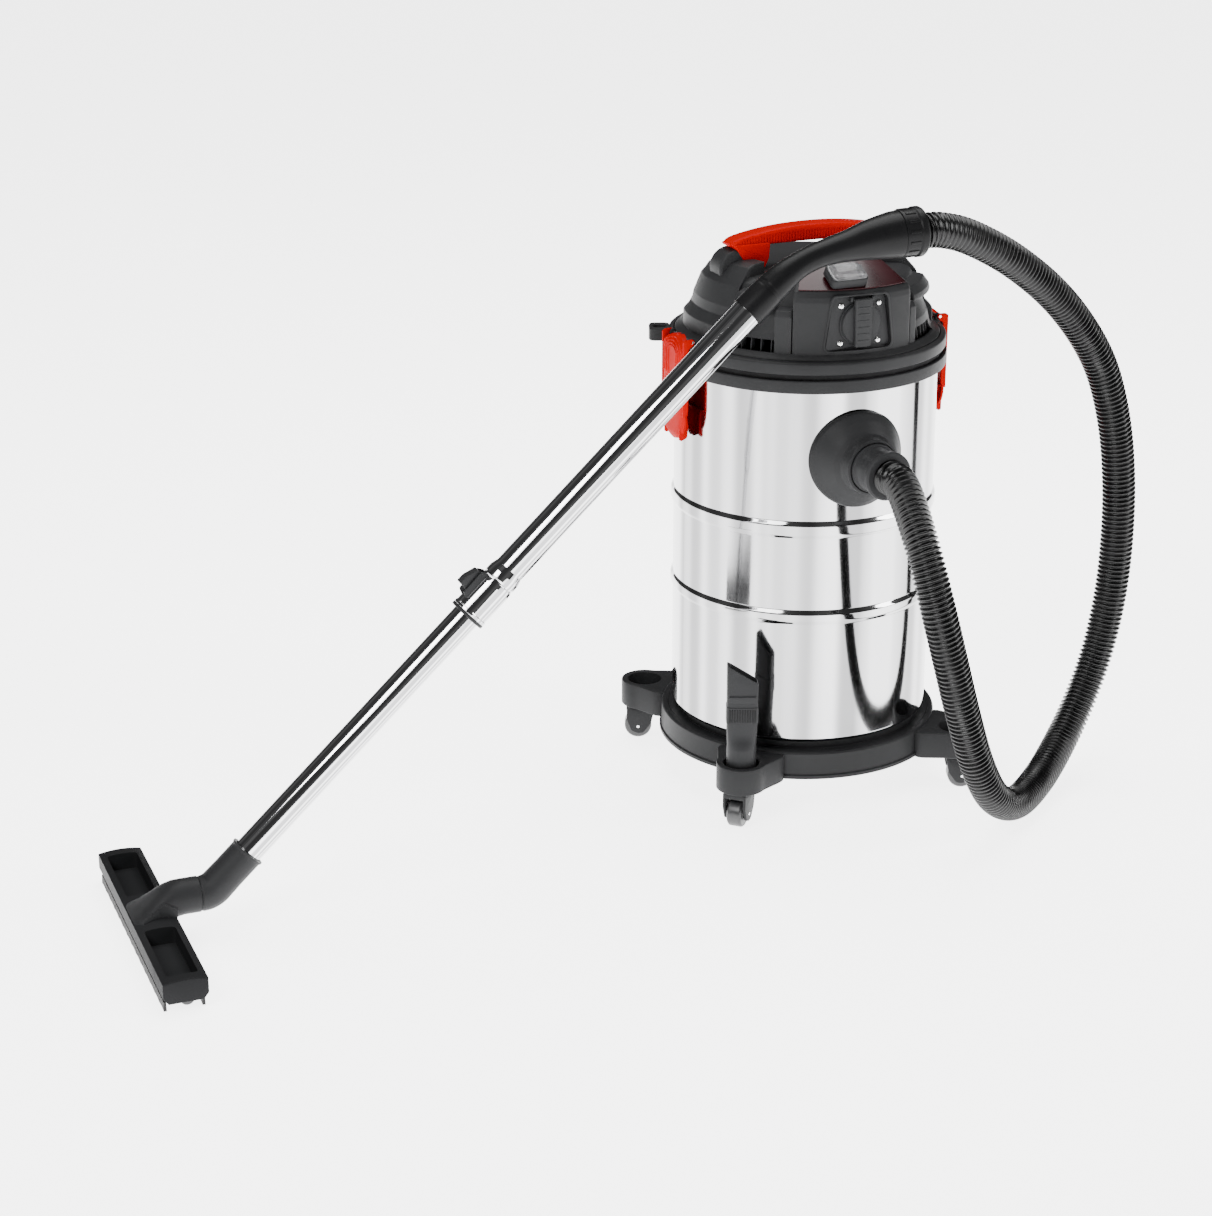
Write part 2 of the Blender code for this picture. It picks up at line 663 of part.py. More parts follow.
def make_handle():
    top = CROWN + HANDLE_RISE
    tip = CROWN + 0.0265
    foot = CROWN + GAP
    half = HANDLE_HALF
    right = [
        (0.0, top),
        (half * 0.30, top - 0.0010),
        (half * 0.60, top - 0.0045),
        (half * 0.90, top - 0.0125),
        (half, top - 0.0180),
        (half, tip),
        (half * 0.78, tip - 0.0010),
        (half * 0.73, foot),
        (half * 0.56, foot),
        (half * 0.52, tip),
        (half * 0.30, tip + 0.0005),
        (0.0, tip + 0.0010),
    ]
    left = [(-x, z) for x, z in reversed(right[1:-1])]
    handle = object_from_bmesh("carry_handle", prism(right + left, -HANDLE_WIDTH / 2, HANDLE_WIDTH / 2, "Y"))
    finish_object(handle, "red")


def make_socket():
    front = POCKET_FLOOR - GAP
    plate_outline = [
        (-0.0480, BAND_TOP + 0.0100),
        (0.0330, BAND_TOP + 0.0100),
        (0.0243, CROWN - 0.0082),
        (-0.0393, CROWN - 0.0082),
    ]
    face = front - PLATE_THICKNESS
    plate = object_from_bmesh("socket_plate", prism(plate_outline, face, front, "Y"))
    finish_object(plate, "grey")
    cut(plate, rod(SOCKET_RADIUS + 2 * GAP, face - 0.01, front + 0.01, "Y", 24, (SOCKET_X, SOCKET_Z)), "plate_hole")
    hinge_y = face - 0.0032
    hinge_z = SOCKET_Z + FLAP_RADIUS + 0.0035
    for side, low in (("left", SOCKET_X - 0.0150), ("right", SOCKET_X + 0.0120)):
        ear = box((low, hinge_y - 0.0022, hinge_z - 0.0024), (low + 0.0030, face + 0.001, hinge_z + 0.0024))
        fuse(plate, ear, f"flap_ear_{side}")
    pin_hole = rod(PIN_RADIUS + GAP - 0.0005, SOCKET_X - 0.02, SOCKET_X + 0.02, "X", 10, (hinge_y, hinge_z))
    cut(plate, pin_hole, "flap_pin_cutter")
    pin = rod(PIN_RADIUS - 0.0005, SOCKET_X - 0.0150, SOCKET_X + 0.0150, "X", 10, (hinge_y, hinge_z))
    finish_object(object_from_bmesh("flap_pin", pin), "steel")

    cup = [
        (0.0, -0.0165),
        (SOCKET_RADIUS, -0.0165),
        (SOCKET_RADIUS, PLATE_THICKNESS),
        (SOCKET_RADIUS - 0.0020, PLATE_THICKNESS),
        (SOCKET_RADIUS - 0.0020, -0.0145),
        (0.0, -0.0145),
    ]
    insert = object_from_bmesh(
        "socket_insert", turned(cup, 24), location=(SOCKET_X, front, SOCKET_Z), rotation=(math.radians(90), 0, 0)
    )
    finish_object(insert, "grey")
    for side, x in (("left", SOCKET_X - 0.0095), ("right", SOCKET_X + 0.0095)):
        cut(insert, rod(0.0026, front + 0.005, front + 0.03, "Y", 10, (x, SOCKET_Z)), f"contact_hole_{side}")

    flap_frame = empty("flap_frame", (SOCKET_X, hinge_y, hinge_z))
    drop = -(FLAP_RADIUS + 0.0035)
    disc = rod(FLAP_RADIUS, -0.0018, 0.0022, "Y", 24, (0.0, drop))
    flap = finish_object(object_from_bmesh("socket_flap", disc, parent=flap_frame), "black")
    rib = [(-0.0018, 0.0018), (0.0012, 0.0024), (0.0022, drop * 1.75), (-0.0062, drop * 1.75), (-0.0062, -0.0080)]
    fuse(flap, prism(rib, -0.0100, 0.0100, "X"), "flap_rib", parent=flap_frame)
    cut(flap, rod(PIN_RADIUS - 0.0005 + GAP, -0.02, 0.02, "X", 10), "flap_bore", parent=flap_frame)

    number = 0
    for dz in (0.0215, -0.0215):
        for dx in (-0.0245, 0.0225):
            number += 1
            head = [(0.0, -0.0030), (0.0016, -0.0030), (0.0016, GAP), (0.0032, GAP), (0.0032, 0.0014), (0.0, 0.0020)]
            screw = object_from_bmesh(
                f"socket_screw_{number}",
                turned(head, 12),
                location=(SOCKET_X + dx, face, SOCKET_Z + dz),
                rotation=(math.radians(90), 0, 0),
            )
            finish_object(screw, "chrome")
            hole = rod(0.0020, face - 0.01, front + 0.01, "Y", 12, (SOCKET_X + dx, SOCKET_Z + dz))
            cut(plate, hole, f"screw_hole_{number}")


def make_switch():
    """A panel on the sloping top, the switch's housing on it, the rocker in its well, and a clear cover."""
    front = -90.0
    panel = [
        tuple(slope_point(0.07, GAP)),
        tuple(slope_point(0.93, GAP)),
        tuple(slope_point(0.93, 0.0016)),
        tuple(slope_point(0.07, 0.0016)),
    ]
    panel.reverse()
    skin = object_from_bmesh("head_panel", turned(panel, 12, front + BLOCK_FROM + 1.5, front + BLOCK_TO - 1.5))
    finish_object(skin, "maroon")
    radius, height = slope_point(0.40, 0.0)
    frame = empty("switch_frame", (-0.0190, -radius, height), (math.radians(SLOPE_TILT), 0, 0))
    half_x = 0.0220
    half_y = 0.0145
    floor = 0.0020
    top = 0.0125
    hole = box((-half_x - GAP, -half_y - GAP, -0.0008), (half_x + GAP, half_y + GAP, 0.02))
    cut(skin, hole, "panel_window", parent=frame)
    housing = object_from_bmesh(
        "switch_housing", box((-half_x, -half_y, floor), (half_x, half_y, top), 0.0010), parent=frame
    )
    finish_object(housing, "black")
    cut(housing, box((-0.0150, -0.0100, floor + 0.0020), (0.0150, 0.0100, top + 0.01)), "switch_well", parent=frame)
    rocker = [(-0.0090, 0.0022), (0.0090, 0.0022), (0.0088, 0.0060), (0.0, 0.0048), (-0.0088, 0.0060)]
    rocker_frame = empty("rocker_frame", (0, 0, 0.0075), parent=frame)
    lowered = [(a, b - 0.0030) for a, b in rocker]
    button = object_from_bmesh("switch_rocker", prism(lowered, -0.0140, 0.0140, "X"), parent=rocker_frame)
    finish_object(button, "red")
    lid = object_from_bmesh(
        "switch_cover",
        box((-half_x + 0.0010, -half_y + 0.0010, top + GAP), (half_x - 0.0010, half_y - 0.0010, top + 0.0075), 0.0015, 2),
        parent=frame,
    )
    finish_object(lid, "clear")
    hollow = box(
        (-half_x + 0.0040, -half_y + 0.0035, top - 0.01), (half_x - 0.0040, half_y - 0.0035, top + 0.0062)
    )
    cut(lid, hollow, "switch_cover_hollow", parent=frame)


def make_motor():
    """The fan motor above the deck: its can, stator, and the shaft with armature and fan."""
    bottom = DECK_TOP + GAP
    wall = 0.0025
    can = [
        (0.0200, bottom),
        (MOTOR_RADIUS, bottom),
        (MOTOR_RADIUS, bottom + MOTOR_HEIGHT - 0.006),
        (MOTOR_RADIUS - 0.010, bottom + MOTOR_HEIGHT),
        (0.0120, bottom + MOTOR_HEIGHT),
        (0.0120, bottom + MOTOR_HEIGHT - wall),
        (MOTOR_RADIUS - 0.011, bottom + MOTOR_HEIGHT - wall),
        (MOTOR_RADIUS - wall, bottom + MOTOR_HEIGHT - 0.007),
        (MOTOR_RADIUS - wall, bottom + wall),
        (0.0200, bottom + wall),
    ]
    finish_object(object_from_bmesh("motor_housing", turned(can, 28)), "dark_steel")
    stator = [
        (0.0300, bottom + 0.0260),
        (MOTOR_RADIUS - wall - GAP, bottom + 0.0260),
        (MOTOR_RADIUS - wall - GAP, bottom + 0.0560),
        (0.0300, bottom + 0.0560),
    ]
    finish_object(object_from_bmesh("motor_stator", turned(stator, 28)), "dark_steel")
    armature = 0.0270
    shaft = [
        (0.0, bottom + 0.0010),
        (SHAFT_RADIUS, bottom + 0.0010),
        (SHAFT_RADIUS, bottom + 0.0280),
        (armature, bottom + 0.0280),
        (armature, bottom + 0.0540),
        (SHAFT_RADIUS, bottom + 0.0540),
        (SHAFT_RADIUS, bottom + MOTOR_HEIGHT - wall - 0.001),
        (0.0, bottom + MOTOR_HEIGHT - wall - 0.001),
    ]
    finish_object(object_from_bmesh("rotor_shaft", turned(shaft, 16)), "dark_steel")
    fan = [
        (SHAFT_RADIUS + GAP, bottom + 0.0060),
        (FAN_RADIUS, bottom + 0.0060),
        (FAN_RADIUS, bottom + 0.0120),
        (0.0150, bottom + 0.0190),
        (SHAFT_RADIUS + GAP, bottom + 0.0190),
    ]
    finish_object(object_from_bmesh("impeller", turned(fan, 24)), "steel")


def make_filter():
    """The float cage under the deck with its ball, the cartridge round it, and the seal under the band."""
    top = DECK - GAP
    bottom = DECK - CAGE_DEPTH
    wall = 0.0030
    cage = [
        (0.0, bottom),
        (CAGE_RADIUS, bottom),
        (CAGE_RADIUS, top - 0.0040),
        (CAGE_RADIUS + 0.0080, top - 0.0040),
        (CAGE_RADIUS + 0.0080, top),
        (CAGE_RADIUS - wall, top),
        (CAGE_RADIUS - wall, bottom + wall),
        (0.0, bottom + wall),
    ]
    frame = finish_object(object_from_bmesh("filter_cage", turned(cage, 24)), "black")
    reach = CAGE_RADIUS + 0.02
    for name, low, high in (
        ("across", (-reach, -0.0200, bottom + 0.0150), (reach, 0.0200, top - 0.0250)),
        ("along", (-0.0200, -reach, bottom + 0.0150), (0.0200, reach, top - 0.0250)),
    ):
        cut(frame, box(low, high), f"cage_window_{name}")
    ball = bmesh.new()
    bmesh.ops.create_icosphere(ball, subdivisions=2, radius=BALL_RADIUS)
    place = (0, 0, bottom + wall + BALL_RADIUS + GAP)
    finish_object(object_from_bmesh("float_ball", ball, location=place), "white")
    rim = CAGE_RADIUS + 0.0140
    cartridge = [
        (0.0, bottom - 0.0060),
        (FILTER_RADIUS, bottom - 0.0060),
        (FILTER_RADIUS, top),
        (rim, top),
        (rim, bottom - 0.0020),
        (0.0, bottom - 0.0020),
    ]
    finish_object(object_from_bmesh("filter_element", turned(cartridge, 28)), "paper")
    seal = [
        (0.1505, RIM_TOP + GAP),
        (0.1600, RIM_TOP + GAP),
        (0.1600, DECK - GAP),
        (0.1505, DECK - GAP),
    ]
    finish_object(object_from_bmesh("head_seal", turned(seal, BIG_SIDES)), "rubber")


def make_gland():
    gland = [
        (0.0040, 0.0),
        (0.0110, 0.0),
        (0.0110, 0.0080),
        (0.0080, 0.0100),
        (0.0060, 0.0220),
        (0.0040, 0.0220),
    ]
    place = (0.0, 0.1440 + GAP, BAND_TOP + 0.0250)
    obj = object_from_bmesh("cable_gland", turned(gland, 16), location=place, rotation=(math.radians(-90), 0, 0))
    finish_object(obj, "rubber")


def make_latch(side, sign):
    """A clamp lever hung on its pin: a face, two side walls with the pivot eyes, and the nose under the rim."""
    frame = empty(f"latch_frame_{side}", (sign * PIVOT_X, 0, PIVOT_Z), (0, 0, 0 if sign > 0 else math.pi))
    face = LATCH_FACE - PIVOT_X
    top = 0.0036
    bottom = top - LATCH_LENGTH
    wall = LATCH_WALL
    inner = RIM_RADIUS + 0.0010 - PIVOT_X
    eye = 0.0036
    body = [
        (face, bottom + 0.010),
        (face, top - 0.003),
        (face - 0.003, top),
        (inner, top),
        (inner, top - wall),
        (face - wall - 0.002, top - wall),
        (face - wall, top - wall - 0.002),
        (face - wall, bottom + 0.004),
        (face - wall, bottom),
        (face - 0.001, bottom),
    ]
    latch = object_from_bmesh(f"latch_{side}", prism(body, -LATCH_HALF, LATCH_HALF, "Y"), parent=frame)
    finish_object(latch, "red")
    cheek = [(face - 0.0005, bottom + 0.0005), (face - 0.0005, top - 0.0035), (face - 0.0035, top - 0.0005)]
    for step in range(6):
        swing = math.radians(90 + 180 * step / 5)
        cheek.append((eye * math.cos(swing), eye * math.sin(swing)))
    cheek += [(inner, -eye - 0.0030), (inner, bottom + 0.0005)]
    for end, low in (("front", -LATCH_HALF + 0.0001), ("back", LATCH_HALF - wall - 0.0001)):
        fuse(latch, prism(cheek, low, low + wall, "Y"), f"latch_cheek_{side}_{end}", parent=frame)
    nose_top = RIM_BOTTOM - PIVOT_Z - 0.0030
    nose = [
        (face - 0.001, nose_top),
        (inner, nose_top),
        (inner + 0.002, nose_top - 0.008),
        (face - 0.001, nose_top - 0.012),
    ]
    fuse(latch, prism(nose, -0.0180, 0.0180, "Y"), f"latch_nose_{side}", parent=frame)
    eye_hole = rod(PIN_RADIUS + GAP, -LATCH_HALF - 0.01, LATCH_HALF + 0.01, "Y", 10)
    cut(latch, eye_hole, f"latch_eye_{side}", parent=frame)
    pin = rod(PIN_RADIUS, -LATCH_HALF - 0.0006, LATCH_HALF + 0.0006, "Y", 10)
    finish_object(object_from_bmesh(f"latch_pin_{side}", pin, parent=frame), "steel")


# ---------------------------------------------------------------- wand

def tube_point(along, lift=0.0):
    """A point (u, z) on the tubes' straight axis, a distance from the elbow's mouth, lifted square to it."""
    slope = math.radians(TUBE_ANGLE)
    u = TUBE_START[0] + along * math.cos(slope) - lift * math.sin(slope)
    z = TUBE_START[1] + along * math.sin(slope) + lift * math.cos(slope)
    return u, z


def tube_frame(name, along, parent):
    """An empty on the tubes' axis whose Z runs up the tube and whose X points up and away from it."""
    u, z = tube_point(along)
    return empty(name, (u, 0, z), (0, math.radians(90 - TUBE_ANGLE), 0), parent)


def make_wand():
    wand = empty("wand_frame", (*WAND_ORIGIN, 0), (0, 0, math.radians(WAND_TURN)))
    grip_path = [tube_point(GRIP_FROM), tube_point(0.8250)]
    grip_path += [(0.7360, 0.6690), (0.7580, 0.6825), (0.7800, 0.6890), (0.8020, 0.6925), (0.8250, 0.6965)]
    grip_path += [(0.8480, 0.7015), (0.8680, 0.7028)]
    outer = [0.0188, 0.0186, 0.0172, 0.0164, 0.0165, 0.0178, 0.0215, 0.0255, 0.0262]
    inner = [UPPER_RADIUS + 2 * GAP, UPPER_RADIUS + 2 * GAP, 0.0148, 0.0142, 0.0144, 0.0152, 0.0172, 0.0190, 0.0195]
    grip = object_from_bmesh("grip", swept(grip_path, outer, inner, 16), parent=wand)
    finish_object(grip, "black")
    cuff_path = [(0.8690, 0.7029), (0.8930, 0.7045), (0.8970, 0.7045)]
    cuff = swept(cuff_path, [0.0270, 0.0275, 0.0260], [0.0195, 0.0195, 0.0195], 16)
    finish_object(object_from_bmesh("hose_grip_cuff", cuff, parent=wand), "black")

    base = tube_frame("upper_tube_frame", COLLAR_FROM, wand)
    length = UPPER_END - COLLAR_FROM
    tube = [
        (UPPER_RADIUS - TUBE_WALL, 0.0),
        (UPPER_RADIUS, 0.0),
        (UPPER_RADIUS, length),
        (UPPER_RADIUS - TUBE_WALL, length),
    ]
    finish_object(object_from_bmesh("upper_tube", turned(tube, 24), parent=base), "chrome")
    reach = COLLAR_TO - COLLAR_FROM
    fit = UPPER_RADIUS + GAP
    collar = [
        (LOWER_RADIUS + 0.0012, -0.0040),
        (0.0207, -0.0040),
        (0.0207, 0.0),
        (0.0200, reach * 0.5),
        (0.0200, reach * 0.9),
        (fit + 0.0012, reach),
        (fit, reach),
        (fit, -GAP),
        (LOWER_RADIUS + 0.0012, -GAP),
    ]
    sleeve = finish_object(object_from_bmesh("tube_collar", turned(collar, 24), parent=base), "chrome")
    cradle = box((-0.0290, -0.0080, 0.0100), (-0.0190, 0.0080, 0.0440), 0.0010)
    fuse(sleeve, cradle, "button_cradle", parent=base)
    slot_floor = -(BUTTON_RISE - BUTTON_FOOT - BUTTON_PRESS - GAP / 2)
    cut(sleeve, box((-0.0400, -0.0062, 0.0140), (slot_floor, 0.0062, 0.0400)), "button_slot", parent=base)
    button_frame = empty("button_frame", (-BUTTON_RISE, 0, 0.0270), parent=base)
    wedge = [
        (BUTTON_FOOT, -0.0122),
        (BUTTON_FOOT, 0.0122),
        (-0.0040, 0.0122),
        (-0.0085, -0.0040),
        (-0.0085, -0.0122),
    ]
    button = object_from_bmesh("release_button", prism(wedge, -0.0056, 0.0056, "Y"), parent=button_frame)
    finish_object(button, "black")

    slide = tube_frame("lower_tube_frame", 0.0, wand)
    low = -0.0260
    high = COLLAR_FROM + 0.0400
    tube = [
        (LOWER_RADIUS - TUBE_WALL, low),
        (LOWER_RADIUS, low),
        (LOWER_RADIUS, high),
        (LOWER_RADIUS - TUBE_WALL, high),
    ]
    finish_object(object_from_bmesh("lower_tube", turned(tube, 24), parent=slide), "chrome")
    slope = math.radians(TUBE_ANGLE)
    bend = 0.0240
    turn_u = TUBE_START[0] - (TUBE_START[1] - NECK_Z) / math.tan(slope)
    tangent = bend * math.tan(slope / 2)
    path = [(NECK_END + GAP, NECK_Z)]
    for step in range(5):
        swing = slope * step / 4
        u = turn_u - tangent + bend * math.sin(swing)
        path.append((u, NECK_Z + bend * (1 - math.cos(swing))))
    path += [tube_point(-0.0300), tube_point(-0.0290), tube_point(0.0)]
    outer = [0.0195] * 6 + [0.0192, 0.0192, 0.0199]
    inner = [0.0150] * 6 + [0.0150, LOWER_RADIUS + 2 * GAP, LOWER_RADIUS + 2 * GAP]
    elbow = object_from_bmesh("nozzle_elbow", swept(path, outer, inner, 16), parent=wand)
    finish_object(elbow, "black")
    make_nozzle(wand)


def make_nozzle(wand):
    """The floor nozzle: its body with a neck, two bristle strips and two rollers."""
    half = NOZZLE_WIDTH / 2
    middle = 0.0035
    body = object_from_bmesh(
        "nozzle_body",
        box((middle - half, -NOZZLE_HALF, NOZZLE_BOTTOM), (middle + half, NOZZLE_HALF, NOZZLE_TOP), 0.0030, 2),
        parent=wand,
    )
    finish_object(body, "black")
    fuse(body, box((-0.0120, -0.0240, 0.0200), (0.0400, 0.0240, 0.0500), 0.0060, 2), "neck_block", parent=wand)
    fuse(body, rod(0.0200, 0.0100, NECK_END, "X", 20, (0.0, NECK_Z)), "neck_pipe", parent=wand)
    for end, sign in (("far", 1), ("near", -1)):
        low, high = sorted((sign * 0.0330, sign * (NOZZLE_HALF - 0.0140)))
        recess = box((middle - half + 0.006, low, NOZZLE_TOP - 0.0100), (middle + half - 0.006, high, 0.06), 0.0)
        cut(body, recess, f"top_recess_{end}", parent=wand)
        spot = sorted((sign * (NOZZLE_HALF - 0.0250), sign * (NOZZLE_HALF - 0.0090)))
        well = box((-0.0040, spot[0], -0.01), (0.0180, spot[1], 2 * ROLLER_RADIUS + 0.0020))
        cut(body, well, f"roller_well_{end}", parent=wand)
    reach = NOZZLE_HALF - 0.0300
    cut(body, box((-0.0100, -reach, -0.01), (0.0160, reach, 0.0200)), "suction_slot", parent=wand)
    cut(body, rod(0.0140, 0.0, 0.0800, "X", 20, (0.0, NECK_Z)), "neck_bore", parent=wand)
    cut(body, box((-0.0040, -0.0120, 0.0150), (0.0160, 0.0120, NECK_Z)), "throat_cutter", parent=wand)
    for name, low in (("front", middle - half + 0.0015), ("rear", middle + half - 0.0045)):
        strip = box((low, -NOZZLE_HALF + 0.0040, 0.0), (low + 0.0030, NOZZLE_HALF - 0.0040, NOZZLE_BOTTOM - GAP))
        finish_object(object_from_bmesh(f"brush_strip_{name}", strip, parent=wand), "rubber", smooth=False)
    for end, sign in (("far", 1), ("near", -1)):
        outline = [
            (0.0, -0.0060),
            (ROLLER_RADIUS, -0.0060),
            (ROLLER_RADIUS, 0.0060),
            (0.0, 0.0060),
        ]
        roller = object_from_bmesh(
            f"roller_{end}",
            turned(outline, 16),
            parent=wand,
            location=(0.0070, sign * (NOZZLE_HALF - 0.0170), ROLLER_RADIUS),
            rotation=(math.radians(90), 0, 0),
        )
        finish_object(roller, "grey")


def make_hose():
    """The corrugated hose, as a plain tube along its route from the grip's cuff to the inlet's cuff."""
    curve = bpy.data.curves.new("hose", "CURVE")
    curve.dimensions = "3D"
    points = smooth_points(HOSE_ROUTE, HOSE_STEPS)
    spline = curve.splines.new("POLY")
    spline.points.add(len(points) - 1)
    for place, point in zip(points, spline.points):
        point.co = (*place, 1.0)
    curve.bevel_depth = HOSE_RADIUS
    curve.bevel_resolution = 3
    curve.render_resolution_u = 0
    curve.use_fill_caps = True
    hose = bpy.data.objects.new("hose", curve)
    bpy.context.scene.collection.objects.link(hose)
    finish_object(hose, "black")


def build():
    clear_scene()
    make_drum()
    make_rim()
    make_inlet()
    make_base()
    for name, angle, heading in zip(CASTOR_NAMES, CASTOR_ANGLES, CASTOR_HEADINGS):
        make_castor(name, angle, heading)
    make_accessory()
    make_head_base()
    make_cover()
    make_handle()
    make_socket()
    make_switch()
    make_motor()
    make_filter()
    make_gland()
    make_latch("left", -1)
    make_latch("right", 1)
    make_wand()
    make_hose()


build()
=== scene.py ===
import math

import bmesh
import bpy
import numpy as np
from mathutils import Matrix, Vector


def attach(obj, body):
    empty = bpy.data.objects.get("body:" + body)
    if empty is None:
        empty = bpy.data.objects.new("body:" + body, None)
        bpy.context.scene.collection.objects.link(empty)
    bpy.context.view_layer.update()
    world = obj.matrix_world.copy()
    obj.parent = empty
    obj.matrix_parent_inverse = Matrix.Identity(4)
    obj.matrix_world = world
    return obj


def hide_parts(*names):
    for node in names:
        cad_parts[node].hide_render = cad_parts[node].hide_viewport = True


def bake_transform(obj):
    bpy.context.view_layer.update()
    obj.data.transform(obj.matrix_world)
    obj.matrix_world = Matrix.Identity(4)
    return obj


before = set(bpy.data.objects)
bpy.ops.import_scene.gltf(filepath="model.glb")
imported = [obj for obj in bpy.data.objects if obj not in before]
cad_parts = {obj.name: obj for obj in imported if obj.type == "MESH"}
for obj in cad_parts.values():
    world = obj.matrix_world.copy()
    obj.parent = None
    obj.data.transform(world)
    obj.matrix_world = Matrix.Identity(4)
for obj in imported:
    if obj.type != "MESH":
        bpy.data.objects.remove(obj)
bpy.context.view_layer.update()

# ---------------------------------------------------------------- camera, floor and light
# A long lens looks down on the machine from its front left. The floor is one wide pale plane, and large
# soft lights on both sides and above leave broad bright bands on the polished metal.

camera = bpy.data.objects.new("camera", bpy.data.cameras.new("camera"))
bpy.context.scene.collection.objects.link(camera)
bpy.context.scene.camera = camera
camera.data.sensor_width = 36.0
camera.data.lens = 80.08
camera.data.clip_end = 60.0
camera.location = (-1.401, -2.774, 1.347)
camera.rotation_euler = Vector((0.358, 0.867, -0.347)).to_track_quat("-Z", "Y").to_euler()


class Value:
    """A number in a shader. Arithmetic on it adds Math nodes."""

    def __init__(self, paint, socket):
        self.paint = paint
        self.socket = socket

    def math(self, operation, *others):
        return self.paint.node("Math", {"operation": operation}, {0: self, **dict(enumerate(others, 1))})

    def __add__(self, other):
        return self.math("ADD", other)

    def __mul__(self, other):
        return self.math("MULTIPLY", other)

    __radd__ = __add__
    __rmul__ = __mul__

    def part(self, index):
        """One coordinate of a vector: 0, 1 or 2."""
        return self.paint.node("SeparateXYZ", None, {0: self}, output=index)

    def between(self, start, end, low=0.0, high=1.0):
        """Rises smoothly from low to high as the value goes from start to end."""
        links = {"Value": self, "From Min": start, "From Max": end, "To Min": low, "To Max": high}
        return self.paint.node("MapRange", {"interpolation_type": "SMOOTHSTEP"}, links)

    def mix(self, first, second):
        """The colour first at 0 and second at 1."""
        return self.paint.node("Mix", {"data_type": "RGBA"}, {0: self, 6: first, 7: second}, output=2)


class Paint:
    """A node material on one Principled shader. Numbers and colours that don't vary are set on the
    shader."""

    def __init__(self, name, **constants):
        self.material = bpy.data.materials.new(name)
        self.material.use_nodes = True
        self.tree = self.material.node_tree
        self.shader = self.tree.nodes["Principled BSDF"]
        for key, value in constants.items():
            self.shader.inputs[key.replace("_", " ")].default_value = value

    def node(self, kind, settings=None, links=None, output=0):
        made = self.tree.nodes.new(f"ShaderNode{kind}")
        for key, value in (settings or {}).items():
            setattr(made, key, value)
        for key, value in (links or {}).items():
            if isinstance(value, Value):
                self.tree.links.new(value.socket, made.inputs[key])
            else:
                made.inputs[key].default_value = value
        return Value(self, made.outputs[output])

    def place(self, output="Object"):
        """Where a point is: the piece's own coordinates in metres, or its UV map's."""
        return self.node("TexCoord", output=output)

    def noise(self, scale, detail=2.0, stretch=(1, 1, 1)):
        """Cloudy noise, with so many waves to a metre; a stretch under 1 draws them out along that axis."""
        where = self.node("Mapping", None, {"Vector": self.place(), "Scale": stretch})
        return self.node("TexNoise", None, {"Vector": where, "Scale": scale, "Detail": detail})

    def band_noise(self, along, scale, detail):
        """Noise that changes along one number only, so it makes parallel bands."""
        links = {"W": along, "Scale": scale, "Detail": detail}
        return self.node("TexNoise", {"noise_dimensions": "1D"}, links)

    def feed(self, name, value):
        self.tree.links.new(value.socket, self.shader.inputs[name])

    def bump(self, height, strength, distance):
        links = {"Height": height, "Strength": strength, "Distance": distance}
        self.feed("Normal", self.node("Bump", None, links))


def moulded(name, colour, roughness=0.5, grain=0.35, spread=0.12, shine=0.30):
    """Injection-moulded plastic: a fine spark-eroded grain, a slightly uneven tone and faint rubbed
    patches."""
    paint = Paint(name, IOR=1.25, Specular_IOR_Level=shine)
    tone = paint.noise(9.0, 4.0).between(0.35, 0.65)
    dark = (*[c * (1 - spread) for c in colour], 1)
    light = (*[c * (1 + spread) for c in colour], 1)
    paint.feed("Base Color", tone.mix(dark, light))
    scuff = paint.noise(38.0, 6.0).between(0.55, 0.75)
    paint.feed("Roughness", scuff * 0.07 + roughness)
    paint.bump(paint.noise(2600.0, 1.0), grain, 0.00012)
    return paint


def polished(name, colour, roughness=0.05, streak=0.012):
    """Polished metal: fine lengthwise polishing marks and a faint haze in broad patches."""
    paint = Paint(name, Metallic=1.0)
    haze = paint.noise(7.0, 3.0).between(0.4, 0.7)
    paint.feed("Base Color", haze.mix((*colour, 1), (*[c * 0.94 for c in colour], 1)))
    paint.feed("Roughness", haze * 0.03 + roughness)
    paint.bump(paint.noise(420.0, 2.0, (1, 1, 0.04)), streak, 0.0002)
    return paint


def finish_with(piece, paint):
    """Gives a piece one finish all over."""
    piece.data.materials.clear()
    piece.data.materials.append(paint.material)


def wear(piece, paint, body=None, replaces=()):
    """Gives a piece its finish, sets it riding on its body and lets it stand for its CAD nodes."""
    finish_with(piece, paint)
    if body:
        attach(piece, body)
    if replaces:
        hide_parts(*replaces)
    return piece


